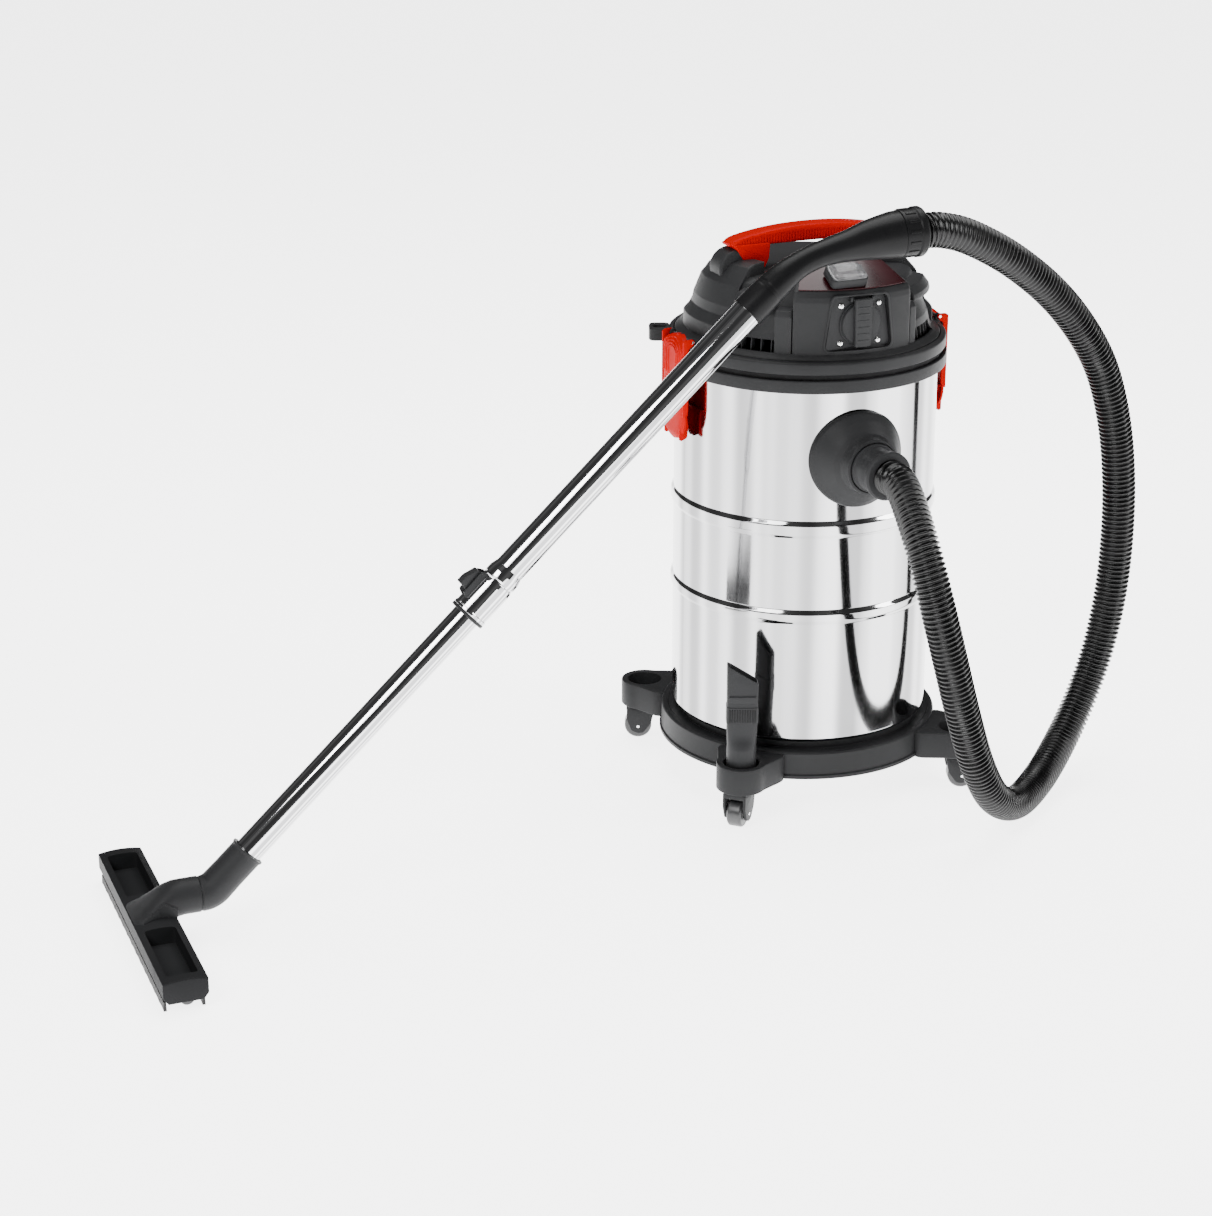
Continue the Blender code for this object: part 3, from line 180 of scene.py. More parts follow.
def surface(name, points, wrap_rows=False, wrap_columns=True, caps=True, sharp=35):
    """A closed skin over a grid of points (row, column, xyz): quads between neighbours, round the columns
    and, where the rows wrap, round the rows too. Otherwise the first and last rows are closed by flat caps.
    Faces are turned outwards by the sign of the enclosed volume."""
    rows, columns = points.shape[:2]
    row = np.arange(rows if wrap_rows else rows - 1)[:, None]
    column = np.arange(columns if wrap_columns else columns - 1)[None, :]
    row_after = (row + 1) % rows
    column_after = (column + 1) % columns
    a = row * columns + column
    b = row * columns + column_after
    c = row_after * columns + column_after
    d = row_after * columns + column
    quads = np.stack([a, b, c, d], -1).reshape(-1, 4)
    flat = points.reshape(-1, 3)
    corners = flat[quads]
    volume = np.einsum("ij,ij->", corners[:, 0], np.cross(corners[:, 1], corners[:, 2]))
    volume += np.einsum("ij,ij->", corners[:, 0], np.cross(corners[:, 2], corners[:, 3]))
    faces = quads.tolist()
    if caps and not wrap_rows:
        first = list(range(columns))[::-1]
        last = [(rows - 1) * columns + k for k in range(columns)]
        for cap in (first, last):
            ring = flat[cap]
            fan = np.cross(ring[1:-1], ring[2:])
            volume += (ring[0] * fan).sum()
        faces += [first, last]
    if volume < 0:
        faces = [face[::-1] for face in faces]
    mesh = bpy.data.meshes.new(name)
    mesh.from_pydata(flat.tolist(), [], faces)
    corner = np.empty(len(mesh.loops), int)
    mesh.loops.foreach_get("vertex_index", corner)
    share = np.stack([(corner % columns) / columns, (corner // columns) / rows], -1)
    total = np.empty(len(mesh.polygons), int)
    mesh.polygons.foreach_get("loop_total", total)
    owner = np.repeat(np.arange(len(total)), total)
    widest = np.zeros(len(total))
    np.maximum.at(widest, owner, share[:, 0])
    share[:, 0] += (widest[owner] - share[:, 0] > 0.5) & (total[owner] == 4)
    mesh.uv_layers.new(name="grid").data.foreach_set("uv", share.ravel())
    mesh.validate()
    mesh.shade_smooth()
    mesh.set_sharp_from_angle(angle=math.radians(sharp))
    piece = bpy.data.objects.new(name, mesh)
    bpy.context.scene.collection.objects.link(piece)
    return piece


floor = Paint("studio_floor", Roughness=0.9, Emission_Strength=4.2)
floor.feed("Base Color", floor.noise(0.5).mix((0.90, 0.90, 0.90, 1), (0.93, 0.93, 0.93, 1)))
floor.feed("Emission Color", floor.noise(0.3).mix((0.98, 0.98, 0.98, 1), (1.0, 1.0, 1.0, 1)))
step = np.linspace(-45.0, 45.0, 3)
ground = np.stack(np.meshgrid(step, step, indexing="ij") + [np.full((3, 3), -0.0004)], -1)
backdrop = surface("studio_floor", ground, wrap_columns=False, caps=False)
finish_with(backdrop, floor)

world = bpy.data.worlds.new("studio")
bpy.context.scene.world = world
world.use_nodes = True
world.node_tree.nodes["Background"].inputs["Color"].default_value = (1.0, 1.0, 1.0, 1)
world.node_tree.nodes["Background"].inputs["Strength"].default_value = 0.10

for name, place, aim, size, power in (
    ("key_light", (-2.6, -1.6, 2.6), (0, 0, 0.3), (1.6, 1.6), 100),
    ("fill_light", (2.8, -2.0, 1.8), (0, 0, 0.4), (0.9, 2.2), 80),
    ("top_light", (0.2, 0.6, 3.2), (0, 0, 0.3), (2.4, 2.4), 130),
):
    light = bpy.data.lights.new(name, "AREA")
    light.shape = "RECTANGLE"
    light.size, light.size_y = size
    light.energy = power
    lamp = bpy.data.objects.new(name, light)
    bpy.context.scene.collection.objects.link(lamp)
    lamp.location = place
    lamp.rotation_euler = (Vector(aim) - Vector(place)).to_track_quat("-Z", "Y").to_euler()

# ---------------------------------------------------------------- hose
# The suction hose is blow-moulded from flexible black plastic with a spiral rib. It's pushed into a cuff at
# each end, leaves the grip level, hangs in one wide loop to near the floor and rises to the inlet.

HOSE_ROUTE = np.array([
    (0.0374, -0.1974, 0.7045), (0.0620, -0.1976, 0.7035), (0.1000, -0.1950, 0.6920),
    (0.1600, -0.1860, 0.6600), (0.2250, -0.1700, 0.6130), (0.2760, -0.1590, 0.5610),
    (0.3120, -0.1530, 0.5060), (0.3350, -0.1510, 0.4380), (0.3470, -0.1500, 0.3650),
    (0.3500, -0.1500, 0.2900), (0.3450, -0.1510, 0.2200), (0.3310, -0.1540, 0.1560),
    (0.3070, -0.1610, 0.0990), (0.2690, -0.1800, 0.0520), (0.2150, -0.2200, 0.0260),
    (0.1550, -0.2680, 0.0260), (0.1030, -0.3060, 0.0580), (0.0660, -0.3270, 0.1130),
    (0.0390, -0.3360, 0.1820), (0.0170, -0.3390, 0.2530), (-0.0010, -0.3360, 0.3200),
    (-0.0110, -0.3180, 0.3790), (-0.0110, -0.2820, 0.4210), (-0.0090, -0.2560, 0.4366),
    (-0.0090, -0.2420, 0.4370), (-0.0090, -0.2326, 0.4370),
])


def curve_through(points, count):
    """A Catmull-Rom curve through the points, read at count places evenly spaced along its length."""
    ends = np.vstack([2 * points[0] - points[1], points, 2 * points[-1] - points[-2]])
    t = np.linspace(0, 1, 24, endpoint=False)[None, :, None]
    a, b, c, d = (ends[k:len(ends) - 3 + k, None, :] for k in range(4))
    fine = 0.5 * (2 * b + (c - a) * t + (2 * a - 5 * b + 4 * c - d) * t**2 + (3 * b - a - 3 * c + d) * t**3)
    fine = np.vstack([fine.reshape(-1, points.shape[1]), points[-1:]])
    along = np.r_[0, np.cumsum(np.linalg.norm(np.diff(fine, axis=0), axis=1))]
    even = np.linspace(0, along[-1], count)
    return np.stack([np.interp(even, along, fine[:, k]) for k in range(points.shape[1])], -1), along[-1]


def frames_along(path, start_up=(0, 0, 1)):
    """Two unit vectors square to a path at each of its points, carried along it without twisting."""
    ahead = np.gradient(path, axis=0)
    ahead /= np.linalg.norm(ahead, axis=1, keepdims=True)
    side = np.empty_like(path)
    last = np.cross(ahead[0], start_up)
    for index, direction in enumerate(ahead):
        last = last - direction * (last @ direction)
        last /= np.linalg.norm(last)
        side[index] = last
    return side, np.cross(side, ahead)


def pipe(path, radius, around, start_up=(0, 0, 1)):
    """Rings round a path: point = centre + radius (cos a, sin a) in the frame square to the path. radius is
    one number for each ring, or a grid (ring, column)."""
    side, up = frames_along(path, start_up)
    angle = np.linspace(0, 2 * np.pi, around, endpoint=False)
    radius = np.broadcast_to(np.asarray(radius, float).reshape(len(path), -1), (len(path), around))
    ring = np.cos(angle)[None, :, None] * side[:, None] + np.sin(angle)[None, :, None] * up[:, None]
    return path[:, None] + radius[:, :, None] * ring


hose_radius = 0.0200
rib_pitch = 0.0058
rings = 1600
route, hose_length = curve_through(HOSE_ROUTE, rings)
run = np.linspace(0, hose_length, rings)[:, None]
turn = np.linspace(0, 1, 36, endpoint=False)[None, :]
wave = np.cos(2 * np.pi * (run / rib_pitch + turn))
rib = hose_radius - 0.0015 + 0.0015 * np.tanh(1.6 * wave) / np.tanh(1.6)
hose = surface("suction_hose", pipe(route, rib, 36), sharp=80)
rubbery = Paint("hose_black", IOR=1.5, Specular_IOR_Level=0.30)
film = rubbery.noise(30.0, 3.0).between(0.4, 0.7)
rubbery.feed("Base Color", film.mix((0.0018, 0.0018, 0.0019, 1), (0.0034, 0.0034, 0.0036, 1)))
rubbery.feed("Roughness", film * 0.10 + 0.26)
rubbery.bump(rubbery.noise(900.0), 0.15, 0.0002)
wear(hose, rubbery)
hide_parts("hose")
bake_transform(hose)

# ---------------------------------------------------------------- drum
# The drum is a deep-drawn stainless steel can, polished bright outside, with two rolled beads that stiffen
# its wall. Its rolled top edge is hidden in the plastic rim.


def rounded(corners, radii, steps=5):
    """An outline through corners (a, b), each rounded by an arc of its radius, which is cut to what
    fits."""
    corners = np.asarray(corners, float)
    radii = np.broadcast_to(np.asarray(radii, float), (len(corners),))
    result = []
    for index, corner in enumerate(corners):
        before = corners[index - 1] - corner
        after = corners[(index + 1) % len(corners)] - corner
        short = min(np.linalg.norm(before), np.linalg.norm(after))
        radius = radii[index]
        if radius <= 0:
            result.append(corner[None])
            continue
        before /= np.linalg.norm(before)
        after /= np.linalg.norm(after)
        half = math.acos(np.clip(before @ after, -1, 1)) / 2
        if half > math.pi / 2 - 0.02:
            result.append(corner[None])
            continue
        reach = min(radius / math.tan(half), 0.49 * short)
        t = np.linspace(0, 1, steps)[:, None]
        start, end = corner + before * reach, corner + after * reach
        result.append((1 - t) ** 2 * start + 2 * t * (1 - t) * corner + t**2 * end)
    return np.vstack(result)


def turned(name, outline, sides=160, place=None, sharp=35, caps=True, wrap=False):
    """An outline (radius, height) turned about Z, then set in place by a 4 by 4 matrix."""
    angle = np.linspace(0, 2 * np.pi, sides, endpoint=False)
    radius = outline[:, :1]
    height = np.broadcast_to(outline[:, 1:], (len(outline), sides))
    points = np.stack([radius * np.cos(angle), radius * np.sin(angle), height], -1)
    return surface(name, moved(points, place), wrap_rows=wrap, caps=caps and not wrap, sharp=sharp)


def moved(points, place):
    """Points carried by a 4 by 4 matrix."""
    if place is None:
        return points
    matrix = np.array(place)
    return points @ matrix[:3, :3].T + matrix[:3, 3]


drum_radius = 0.1550
bead_radius = 0.1579
sheet = 0.0009
inlet_x, inlet_z = -0.009, 0.437
outside = [(0.0004, 0.0870), (0.1500, 0.0870), (drum_radius, 0.0920)]
bend = [0, 0.004, 0.004]
for bottom, top in ((0.2370, 0.2545), (0.3425, 0.3630)):
    outside += [(drum_radius, bottom), (bead_radius, bottom + 0.0045)]
    outside += [(bead_radius, top - 0.0045), (drum_radius, top)]
    bend += [0.003, 0.006, 0.006, 0.003]
outside += [(drum_radius, 0.5280)]
bend += [0]
inside = [(radius - sheet, height) for radius, height in outside[:1:-1]]
inside += [(0.1500 - sheet, 0.0870 + sheet), (0.0004, 0.0870 + sheet)]
drum = turned("drum_shell", rounded(outside + inside, bend + bend[:1:-1] + [0.004, 0], 7), 192, sharp=50)


def carve(piece, cutter):
    """Cuts a piece with another, which is removed."""
    modifier = piece.modifiers.new("carve", "BOOLEAN")
    modifier.operation = "DIFFERENCE"
    modifier.object = cutter
    modifier.solver = "EXACT"
    graph = bpy.context.evaluated_depsgraph_get()
    mesh = bpy.data.meshes.new_from_object(piece.evaluated_get(graph))
    piece.modifiers.clear()
    piece.data = mesh
    bpy.data.objects.remove(cutter)
    mesh.shade_smooth()
    mesh.set_sharp_from_angle(angle=math.radians(35))


def drill(piece, x, z, radius, front, depth):
    """Bores a round hole straight back (+Y) from front."""
    swing = np.linspace(0, 2 * np.pi, 48, endpoint=False)
    mouth = np.stack([x + radius * np.cos(swing), np.full(48, front), z + radius * np.sin(swing)], -1)
    carve(piece, surface("drill", np.stack([mouth, mouth + np.array([0, depth, 0])])))


drill(drum, inlet_x, inlet_z, 0.027, -0.18, 0.05)
steel = Paint("drum_steel", Metallic=1.0)
# painted reflections: the steel's base colour runs in broad light and dark upright bands round the drum
bearing = steel.place().part(1).math("ARCTAN2", steel.place().part(0))
grey = steel.band_noise(bearing, 2.6, 1.5).between(0.40, 0.62)
steel.feed("Base Color", grey.mix((0.24, 0.24, 0.245, 1), (0.60, 0.60, 0.61, 1)))
steel.feed("Roughness", steel.noise(12.0, 4.0).between(0.4, 0.7) * 0.03 + 0.07)
steel.bump(steel.noise(300.0, 2.0, (1, 1, 0.03)), 0.02, 0.0002)
wear(drum, steel, "container", ["drum"])

# ---------------------------------------------------------------- container rim
# A black moulded ring is pressed over the drum's rolled edge; the head's seal sits on it.

BLACK = moulded("black_moulding", (0.0170, 0.0173, 0.0180), 0.46)
GREY = moulded("dark_grey_moulding", (0.0200, 0.0203, 0.0212), 0.46)
HAND = moulded("grip_black", (0.0050, 0.0050, 0.0053), 0.34, 0.25)
rim = rounded(
    [(0.1554, 0.5170), (0.1644, 0.5170), (0.1644, 0.5320), (0.1502, 0.5320), (0.1502, 0.5220),
     (0.1537, 0.5220), (0.1537, 0.5284), (0.1554, 0.5284)],
    [0.0006, 0.0016, 0.0016, 0.001, 0.0005, 0.0004, 0.0003, 0.0003],
)
wear(turned("rim_moulding", rim, 192, wrap=True), BLACK, "container", ["container_rim"])

# ---------------------------------------------------------------- suction inlet
# The inlet is a domed black moulding saddled to the drum. The hose's cuff turns in its short neck, and has
# a stepped collar with a raised lip.


def saddle(name, outline, around=96):
    """A flange seated on the drum. Each ring (radius, rise, share) of the outline stands rise above a skin,
    which goes over from the drum's cylinder, at share 0, to a flat plane across the inlet's axis, at 1."""
    angle = np.linspace(0, 2 * np.pi, around, endpoint=False)[None, :]
    radius, rise, share = (outline[:, k, None] for k in range(3))
    across = radius * np.cos(angle)
    x = inlet_x + across
    seat = drum_radius + 0.0006
    skin = (1 - share) * np.sqrt(seat**2 - x**2) + share * seat
    points = np.stack([x, -(skin + rise), inlet_z + radius * np.sin(angle)], -1)
    return surface(name, points, wrap_rows=True)


dome = rounded(
    [(0.0560, 0.0000), (0.0570, 0.0030), (0.0555, 0.0075), (0.0480, 0.0150), (0.0400, 0.0205),
     (0.0345, 0.0235), (0.0330, 0.0300), (0.0325, 0.0385), (0.0292, 0.0400), (0.0286, 0.0370),
     (0.0232, 0.0370), (0.0232, 0.0000)],
    [0, 0.002, 0.006, 0.02, 0.02, 0.003, 0.003, 0.0016, 0.0014, 0.0004, 0.0005, 0],
    7,
)
share = np.clip((0.052 - dome[:, 0]) / 0.018, 0, 1)
flange = saddle("inlet_dome", np.column_stack([dome, share**2 * (3 - 2 * share)]))
wear(flange, BLACK, "container", ["inlet_flange"])


def lying(x, z, y=0.0):
    """A place at (x, y, z) whose Z axis points to the front (-Y)."""
    return Matrix.Translation((x, y, z)) @ Matrix.Rotation(math.radians(90), 4, "X")


cuff = rounded(
    [(0.0195, 0.1600), (0.0222, 0.1600), (0.0222, 0.1935), (0.0282, 0.1935), (0.0282, 0.1975),
     (0.0262, 0.1985), (0.0256, 0.2110), (0.0262, 0.2235), (0.0282, 0.2245), (0.0282, 0.2300),
     (0.0262, 0.2320), (0.0195, 0.2320)],
    [0, 0.0004, 0, 0.001, 0.001, 0.001, 0.01, 0.001, 0.001, 0.0015, 0.0012, 0.0006],
)
inlet_cuff = turned("inlet_cuff", cuff, 96, lying(inlet_x, inlet_z), wrap=True)
wear(inlet_cuff, GREY, "container", ["hose_inlet_cuff"])

# ---------------------------------------------------------------- base
# The base is one moulding: a ring that the drum stands in, with a lip round its foot, and four arms that
# spread from it to round tool holders, each over a castor.

ring = rounded(
    [(0.1050, 0.0752), (0.1620, 0.0752), (0.1620, 0.0470), (0.1698, 0.0470), (0.1698, 0.0515),
     (0.1678, 0.0525), (0.1672, 0.0780), (0.1655, 0.0800), (0.1605, 0.0800), (0.1590, 0.0785),
     (0.1475, 0.0785), (0.1475, 0.0866), (0.1050, 0.0866)],
    [0.0005, 0.001, 0.0008, 0.0012, 0.0010, 0.0008, 0.0015, 0.0015, 0.0008, 0.0008, 0.0005, 0.0005, 0.0005],
)
base = turned("base_moulding", ring, 192, wrap=True)
wear(base, BLACK, "container", ["base_ring"])

ARM_REACH = 0.203


def arm_points(bearing):
    """An arm seen from its holder's centre: in each direction the plan outline is the distance to the
    holder's circle, or to the flared root at the ring. Rows run from under the arm, up its side, over the
    top and down the holder's hole to its floor."""
    swing = np.linspace(0, 2 * np.pi, 96, endpoint=False)
    inward = np.abs((swing + np.pi) % (2 * np.pi) - np.pi)
    # straight sides from the holder's full width to the flared root
    half, flare, root = 0.0290, 0.0445, 0.0430
    side = half * root / np.maximum(np.sin(inward) * root - np.cos(inward) * (flare - half), 1e-4)
    reach = np.where(inward < np.pi / 2, np.minimum(root / np.maximum(np.cos(inward), 1e-3), side), half)
    reach = np.convolve(np.r_[reach[-2:], reach, reach[:2]], np.ones(5) / 5, "valid")
    # outside the hole a row's radius is a share of the reach, inside it a length
    outer = np.array([(0.20, 0.0460), (0.97, 0.0460), (1.0, 0.0470), (1.0, 0.0500), (1.0, 0.0765),
                      (0.985, 0.0776), (0.955, 0.0780)])
    hole = np.array([(0.0228, 0.0780), (0.0212, 0.0775), (0.0205, 0.0760), (0.0205, 0.0565),
                     (0.0200, 0.0560), (0.0010, 0.0560)])
    radius = np.vstack([outer[:, :1] * reach, np.broadcast_to(hole[:, :1], (len(hole), 96))])
    height = np.broadcast_to(np.r_[outer[:, 1:], hole[:, 1:]], radius.shape)
    # the swing is measured from the direction towards the drum
    grid = np.stack([ARM_REACH - radius * np.cos(swing), radius * np.sin(swing), height], -1)
    return moved(grid, Matrix.Rotation(math.radians(bearing), 4, "Z"))


for name, bearing in (("rear_right", 45), ("rear_left", 135), ("front_left", 225), ("front_right", 315)):
    wear(surface(f"tool_holder_arm_{name}", arm_points(bearing), sharp=30), BLACK, "container")

# ---------------------------------------------------------------- castors
# Each castor is a moulded twin-cheek fork on a steel stem, with a grey wheel on a steel axle between its
# cheeks.


def oblong(left, right, bottom, top):
    """The four corners of a rectangle, counter-clockwise from the lower left."""
    return [(left, bottom), (right, bottom), (right, top), (left, top)]


def slab(name, outline, start, end, edge, place=None, axis="Y", steps=4):
    """A plate: an outline (a, b) carried from start to end along an axis, its two rims rounded by edge. At
    each rim the outline is pulled in along its own normals by edge (1 - sin t), edge (1 - cos t) deep."""
    outline = np.asarray(outline, float)
    ahead = np.roll(outline, -1, 0) - outline
    behind = outline - np.roll(outline, 1, 0)
    ahead /= np.maximum(np.linalg.norm(ahead, axis=1, keepdims=True), 1e-9)
    behind /= np.maximum(np.linalg.norm(behind, axis=1, keepdims=True), 1e-9)
    normal = np.stack([ahead[:, 1] + behind[:, 1], -ahead[:, 0] - behind[:, 0]], -1)
    normal /= np.maximum((normal**2).sum(1, keepdims=True), 0.6) / 2
    area = (outline[:, 0] * np.roll(outline[:, 1], -1) - np.roll(outline[:, 0], -1) * outline[:, 1]).sum()
    normal *= np.sign(area)
    t = np.linspace(0, np.pi / 2, steps)
    inset = np.r_[edge * (1 - np.sin(t)), edge * (1 - np.sin(t[::-1]))]
    depth = np.r_[start + edge * (1 - np.cos(t)), end - edge * (1 - np.cos(t[::-1]))]
    flat = outline[None] - inset[:, None, None] * normal[None]
    along = np.broadcast_to(depth[:, None], flat.shape[:2])
    a, b = flat[:, :, 0], flat[:, :, 1]
    order = {"Y": (a, along, b), "X": (along, a, b), "Z": (a, b, along)}[axis]
    return surface(name, moved(np.stack(order, -1), place), sharp=40)


WHEEL = Paint("wheel_grey", Roughness=0.42)
tread = WHEEL.noise(60.0, 4.0).between(0.4, 0.65)
WHEEL.feed("Base Color", tread.mix((0.022, 0.022, 0.023, 1), (0.034, 0.034, 0.035, 1)))
WHEEL.feed("Roughness", tread * 0.15 + 0.34)
WHEEL.bump(WHEEL.noise(1500.0), 0.2, 0.0001)
AXLE = polished("axle_steel", (0.70, 0.70, 0.71), 0.16)

cheek_gap = 0.0108
cheek_wall = 0.0034
cheek_outline = rounded(
    [(0.0135, 0.0440), (0.0085, 0.0215), (-0.0010, 0.0085), (-0.0080, 0.0075), (-0.0165, 0.0110),
     (-0.0225, 0.0270), (-0.0225, 0.0440)],
    [0.001, 0.006, 0.006, 0.006, 0.006, 0.004, 0.001],
)
hood_outline = rounded(oblong(-0.0230, 0.0140, -0.0142, 0.0142), [0.004, 0.010, 0.010, 0.004], 7)
wheel_outline = rounded(
    [(0.0024, -0.0070), (0.0060, -0.0070), (0.0070, -0.0090), (0.0150, -0.0090), (0.0170, -0.0070),
     (0.0170, 0.0070), (0.0150, 0.0090), (0.0070, 0.0090), (0.0060, 0.0070), (0.0024, 0.0070)],
    [0, 0.0006, 0.0006, 0.0015, 0.0015, 0.0015, 0.0015, 0.0006, 0.0006, 0],
)
stem_outline = [(0.0005, 0.0430), (0.0050, 0.0430), (0.0050, 0.0508), (0.0005, 0.0510)]
stem_outline = rounded(stem_outline, [0, 0, 0.0008, 0])
pin_outline = rounded(oblong(0.0002, 0.0020, -0.0146, 0.0146), [0, 0.0005, 0.0005, 0])
for name, bearing, heading in (
    ("rear_right", 45, 60), ("rear_left", 135, 157), ("front_left", 225, 225), ("front_right", 315, 340),
):
    swing = math.radians(bearing)
    spot = (ARM_REACH * math.cos(swing), ARM_REACH * math.sin(swing), 0)
    stand = Matrix.Translation(spot) @ Matrix.Rotation(math.radians(heading + 180), 4, "Z")
    body = f"castor_{name}"
    wear(slab(f"castor_hood_{name}", hood_outline, 0.0380, 0.0454, 0.0015, stand, "Z"), BLACK, body)
    for side, start in (("near", -cheek_gap - cheek_wall), ("far", cheek_gap)):
        cheek = slab(f"castor_cheek_{side}_{name}", cheek_outline, start, start + cheek_wall, 0.0008, stand)
        wear(cheek, BLACK, body)
    wear(turned(f"castor_stem_{name}", stem_outline, 24, stand), AXLE, body, [f"castor_fork_{name}"])
    hub = stand @ lying(-0.008, 0.017)
    tyre = turned(f"wheel_tyre_{name}", wheel_outline, 64, hub, wrap=True)
    wear(tyre, WHEEL, f"wheel_{name}", [f"castor_wheel_{name}"])
    wear(turned(f"axle_pin_{name}", pin_outline, 24, hub), AXLE, body, [f"castor_axle_{name}"])

# ---------------------------------------------------------------- accessory tool
# A small crevice tool with a bristle comb stands in the front left holder: a flat mouth cut at a slant, a
# comb of short ribs, and a round socket below.


def superellipse(width, depth, power, count=64):
    """An outline |x / width| ** power + |y / depth| ** power = 1, from a rounded rectangle to an ellipse.
    Widths, depths and powers given as columns give one outline for each row."""
    angle = np.linspace(0, 2 * np.pi, count, endpoint=False)
    c, s = np.cos(angle), np.sin(angle)
    scale = (np.abs(c / width) ** power + np.abs(s / depth) ** power) ** (-1 / power)
    return np.stack([c * scale, s * scale], -1)


def stacked(rows):
    """Rings stacked up Z: each row is (height, half width, half depth, power, slant), the slant raising the
    ring towards -x by that much per metre."""
    height, width, depth, power, slant = np.array(rows).T[:, :, None]
    ring = superellipse(width, depth, power)
    return np.concatenate([ring, (height - ring[..., 0] * slant)[..., None]], -1)


holder = math.radians(225)
holder_centre = Matrix.Translation((ARM_REACH * math.cos(holder), ARM_REACH * math.sin(holder), 0))
tool_place = holder_centre @ Matrix.Rotation(math.radians(-22), 4, "Z")
tool_rows = [
    (0.0566, 0.0148, 0.0148, 2, 0), (0.0566, 0.0172, 0.0172, 2, 0), (0.0575, 0.0175, 0.0175, 2, 0),
    (0.0960, 0.0175, 0.0175, 2, 0), (0.1000, 0.0172, 0.0170, 2.1, 0), (0.1060, 0.0174, 0.0140, 2.6, 0),
    (0.1100, 0.0176, 0.0120, 3.2, 0), (0.1170, 0.0178, 0.0112, 4.0, 0), (0.1300, 0.0178, 0.0110, 6, 0),
    (0.1302, 0.0186, 0.0116, 7, 0), (0.1500, 0.0186, 0.0114, 7, 0), (0.1502, 0.0180, 0.0106, 7, 0),
    (0.1560, 0.0180, 0.0104, 7, 0.1), (0.1750, 0.0182, 0.0098, 7, 0.5), (0.1880, 0.0183, 0.0092, 7, 0.62),
    (0.1900, 0.0180, 0.0089, 7, 0.62), (0.1902, 0.0165, 0.0072, 7, 0.62), (0.1880, 0.0160, 0.0068, 7, 0.62),
    (0.1300, 0.0150, 0.0075, 6, 0), (0.1000, 0.0150, 0.0120, 2.6, 0), (0.0900, 0.0148, 0.0148, 2, 0),
]
TOOL = moulded("tool_grey", (0.0180, 0.0183, 0.0192), 0.44)
tool = surface("crevice_tool", moved(stacked(tool_rows), tool_place), wrap_rows=True, sharp=50)
wear(tool, TOOL, "tool", ["accessory_tool"])
for index, offset in enumerate(np.linspace(-0.0150, 0.0150, 11)):
    tooth = rounded(oblong(offset - 0.0006, offset + 0.0006, 0.1320, 0.1480), 0.0004, 3)
    wear(slab(f"tool_rib_{index}", tooth, -0.0122, -0.0105, 0.0003, tool_place), HAND, "tool")
band = rounded(oblong(-0.0160, 0.0160, 0.1560, 0.1640), 0.001)
wear(slab("tool_band", band, -0.0116, -0.0100, 0.0004, tool_place), TOOL, "tool")

# ---------------------------------------------------------------- head base
# The head's lower half closes the drum: a band round its edge over the rubber seal, ears for the two
# clamps, and a lug with a hole at the rear left for hanging things.

band = rounded(
    [(0.0400, 0.5381), (0.1462, 0.5381), (0.1462, 0.5200), (0.1486, 0.5200), (0.1486, 0.5381),
     (0.1632, 0.5381), (0.1632, 0.5518), (0.1565, 0.5534), (0.1563, 0.5442), (0.0400, 0.5442)],
    [0, 0.001, 0.0005, 0.0005, 0.001, 0.0022, 0.0030, 0.0010, 0.0005, 0],
)
wear(turned("head_band", band, 192, wrap=True), BLACK, "head", ["head_base"])


def mirrored(outline, sign):
    """The outline of the right-hand piece (1) or of its mirror image on the left (-1)."""
    return np.array(outline) * (sign, 1)


ear_outline = [(0.1568, 0.5470), (0.1625, 0.5470), (0.1647, 0.5560), (0.1632, 0.5610), (0.1580, 0.5612),
               (0.1565, 0.5560)]
for side, sign in (("left", -1), ("right", 1)):
    ear = rounded(mirrored(ear_outline, sign), 0.003)
    for end, start in (("front", -0.0275), ("back", 0.0240)):
        wear(slab(f"clamp_ear_{side}_{end}", ear, start, start + 0.0035, 0.0006), BLACK, "head")
lug_place = Matrix.Rotation(math.radians(-23), 4, "Z") @ Matrix.Translation((-0.1735, 0, 0))
lug_side = np.array([(0.95, 0.5400), (1, 0.5410), (1, 0.5535), (0.94, 0.5545)])
lug_hole = np.array([(1.15, 0.5545), (1, 0.5535), (1, 0.5410), (1.1, 0.5400)])
lug = stacked([(height, 0.0125 * share, 0.0165 * share, 4.5, 0) for share, height in lug_side]
              + [(height, 0.0078 * share, 0.0078 * share, 2, 0) for share, height in lug_hole])
wear(surface("hanging_lug", moved(lug, lug_place), wrap_rows=True), BLACK, "head")

# ---------------------------------------------------------------- head cover
# The cover is a stepped dome with cooling slots round its foot. A block grows out of its front for the
# socket and the switch, and two stout round bosses on its shoulders carry the handle.

cover_outside = [
    (0.1555, 0.5446), (0.1555, 0.5540), (0.1500, 0.5575), (0.1450, 0.5620), (0.1425, 0.5660),
    (0.1395, 0.5800), (0.1330, 0.5930), (0.1285, 0.6030), (0.1235, 0.6180), (0.1180, 0.6270),
    (0.1080, 0.6315), (0.0400, 0.6322), (0.0004, 0.6322),
]
cover_inside = [(max(r - 0.003, 0.0004), z - (0.003 if r < 0.12 else 0.0)) for r, z in cover_outside[::-1]]
cover_inside[-1] = (0.1525, 0.5446)
softness = [0, 0.002, 0.003, 0.003, 0.004, 0.01, 0.02, 0.02, 0.02, 0.010, 0.008, 0.02, 0]
cover = turned("head_shell", rounded(cover_outside + cover_inside, softness + [0] * 13), 192, sharp=40)
fin = rounded([(0.132, 0.5575), (0.1425, 0.5575), (0.1400, 0.5735), (0.132, 0.5735)], 0.0005)
